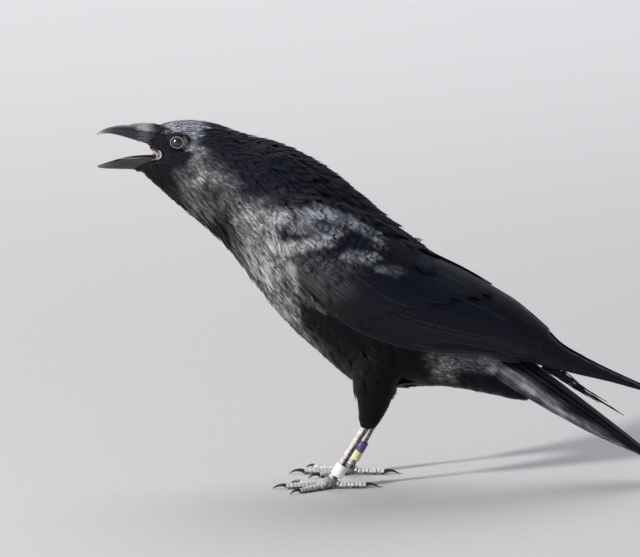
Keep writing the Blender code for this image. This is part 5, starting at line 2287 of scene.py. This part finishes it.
        # the scutes take the pale end of the leg skin: partly dust, partly a painted highlight on
        # the lit front of the leg and the tops of the toes
        Growth(self.named("scutes"), self.scute_shape(), self.skin_finish, "leg_skin",
               self.scutes, 0.80, 0.03, 4).build()
        self.make_bands()


def build_legs() -> None:
    """Makes both legs, with their shared skin and claws."""
    # the leg skin's pale colour is partly dust and partly a painted highlight where the scutes
    # catch the light
    skin = BareSkin("leg_finish", (0.012, 0.011, 0.012), (0.68, 0.665, 0.66), 0.50, 1500.0, 1.7)
    claws = Horn("claw_finish", dark=(0.018, 0.017, 0.018), pale=(0.20, 0.19, 0.18), dust=1.0)
    metal = Ring("band_metal", (0.93, 0.92, 0.93), (0.70, 0.70, 0.71), 0.35, 0.36)
    yellow = Ring("band_yellow", (0.68, 0.69, 0.33), (0.50, 0.51, 0.26), 0.0, 0.38)
    purple = Ring("band_purple", (0.080, 0.052, 0.20), (0.16, 0.12, 0.28), 0.0, 0.38)
    shared = {"skin_finish": skin.build(), "claw_finish": claws.build()}
    left = (Band("left_leg_band", 12.4, 10.0, 4.95, 0.8, metal),)
    right = (Band("right_leg_band_yellow", 12.6, 7.6, 3.9, 0.7, yellow),
             Band("right_leg_band_purple", 20.6, 7.6, 3.9, 0.7, purple))
    Leg(Side.LEFT, turn_out=3.0, scale=1.0, bands=left, **shared).build()
    Leg(Side.RIGHT, turn_out=1.0, scale=1.06, bands=right, **shared).build()


# ---- studio


@dataclass(frozen=True)
class Lamp:
    """One soft light: where it stands, its size and power, and its colour."""

    name: str
    place: tuple
    size: float
    power: float
    colour: tuple = (1.0, 1.0, 1.0)


@dataclass(frozen=True)
class Studio:
    """A plain floor, soft lights and the camera."""

    aim: tuple = (-0.0429, 0.0, 0.1572)
    distance: float = 4.0
    elevation: float = 12.0
    lens: float = 299.25
    sensor: float = 36.0
    floor: float = 12.0
    lamps: tuple = (
        Lamp("low_key", (-3.5, -2.1, 1.8), 0.45, 250.0, (1.0, 0.98, 0.95)),
        Lamp("sky_fill", (0.0, 2.4, 4.4), 4.0, 130.0, (0.94, 0.97, 1.0)),
    )

    def build(self) -> None:
        """Makes the floor, the lights and the camera."""
        mesh = bpy.data.meshes.new("floor")
        half = self.floor / 2
        corners = [(-half, -half, 0), (half, -half, 0), (half, half, 0), (-half, half, 0)]
        mesh.from_pydata(corners, [], [(0, 1, 2, 3)])
        mesh.materials.append(Ground().build())
        placed("floor", mesh)
        target = Vector(self.aim)
        for lamp in self.lamps:
            light = bpy.data.lights.new(lamp.name, "AREA")
            light.shape = "DISK"
            light.size = lamp.size
            light.energy = lamp.power
            light.color = lamp.colour
            holder = placed(lamp.name, light)
            holder.location = lamp.place
            holder.rotation_euler = (target - holder.location).to_track_quat("-Z", "Y").to_euler()
        world = bpy.data.worlds.new("studio")
        world.use_nodes = True
        sky = world.node_tree.nodes["Background"]
        sky.inputs["Color"].default_value = (0.90, 0.93, 1.0, 1.0)
        sky.inputs["Strength"].default_value = 0.26
        bpy.context.scene.world = world
        bpy.context.scene.view_settings.view_transform = "Standard"
        lens = bpy.data.cameras.new("camera")
        lens.lens = self.lens
        lens.sensor_width = self.sensor
        lens.clip_end = 50.0
        camera = placed("camera", lens)
        tilt = math.radians(self.elevation)
        way = Vector((0.0, math.cos(tilt), -math.sin(tilt)))
        camera.location = target - way * self.distance
        camera.rotation_euler = way.to_track_quat("-Z", "Y").to_euler()
        bpy.context.scene.camera = camera


def main() -> None:
    """Builds the crow's looks in order."""
    logging.basicConfig(level=logging.INFO, format="%(name)s %(message)s")
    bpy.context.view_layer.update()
    plumage = Plumage("plumage_coat")
    skin = Skin().build(Plumage("plumage_skin", vaned=False))
    Coat(skin).build(plumage)
    Thighs(skin).build(plumage)
    quills = Plumage("plumage_wing", barbs=90, slant=0.25, roughness=0.36, sheen=0.05,
                     shaft=0.05, edge=0.03, mottle=0.4, specular=0.22)
    for side in Side:
        Wing(side, skin).build(quills, Plumage("plumage_small_coverts", roughness=0.40,
                                                specular=0.22))
    Tail().build(Plumage("plumage_tail", barbs=120, slant=0.25, roughness=0.40, edge=0.10,
                       mottle=0.5, specular=0.20))
    Head().build()
    build_legs()
    Studio().build()


if __name__ == "__main__":
    main()
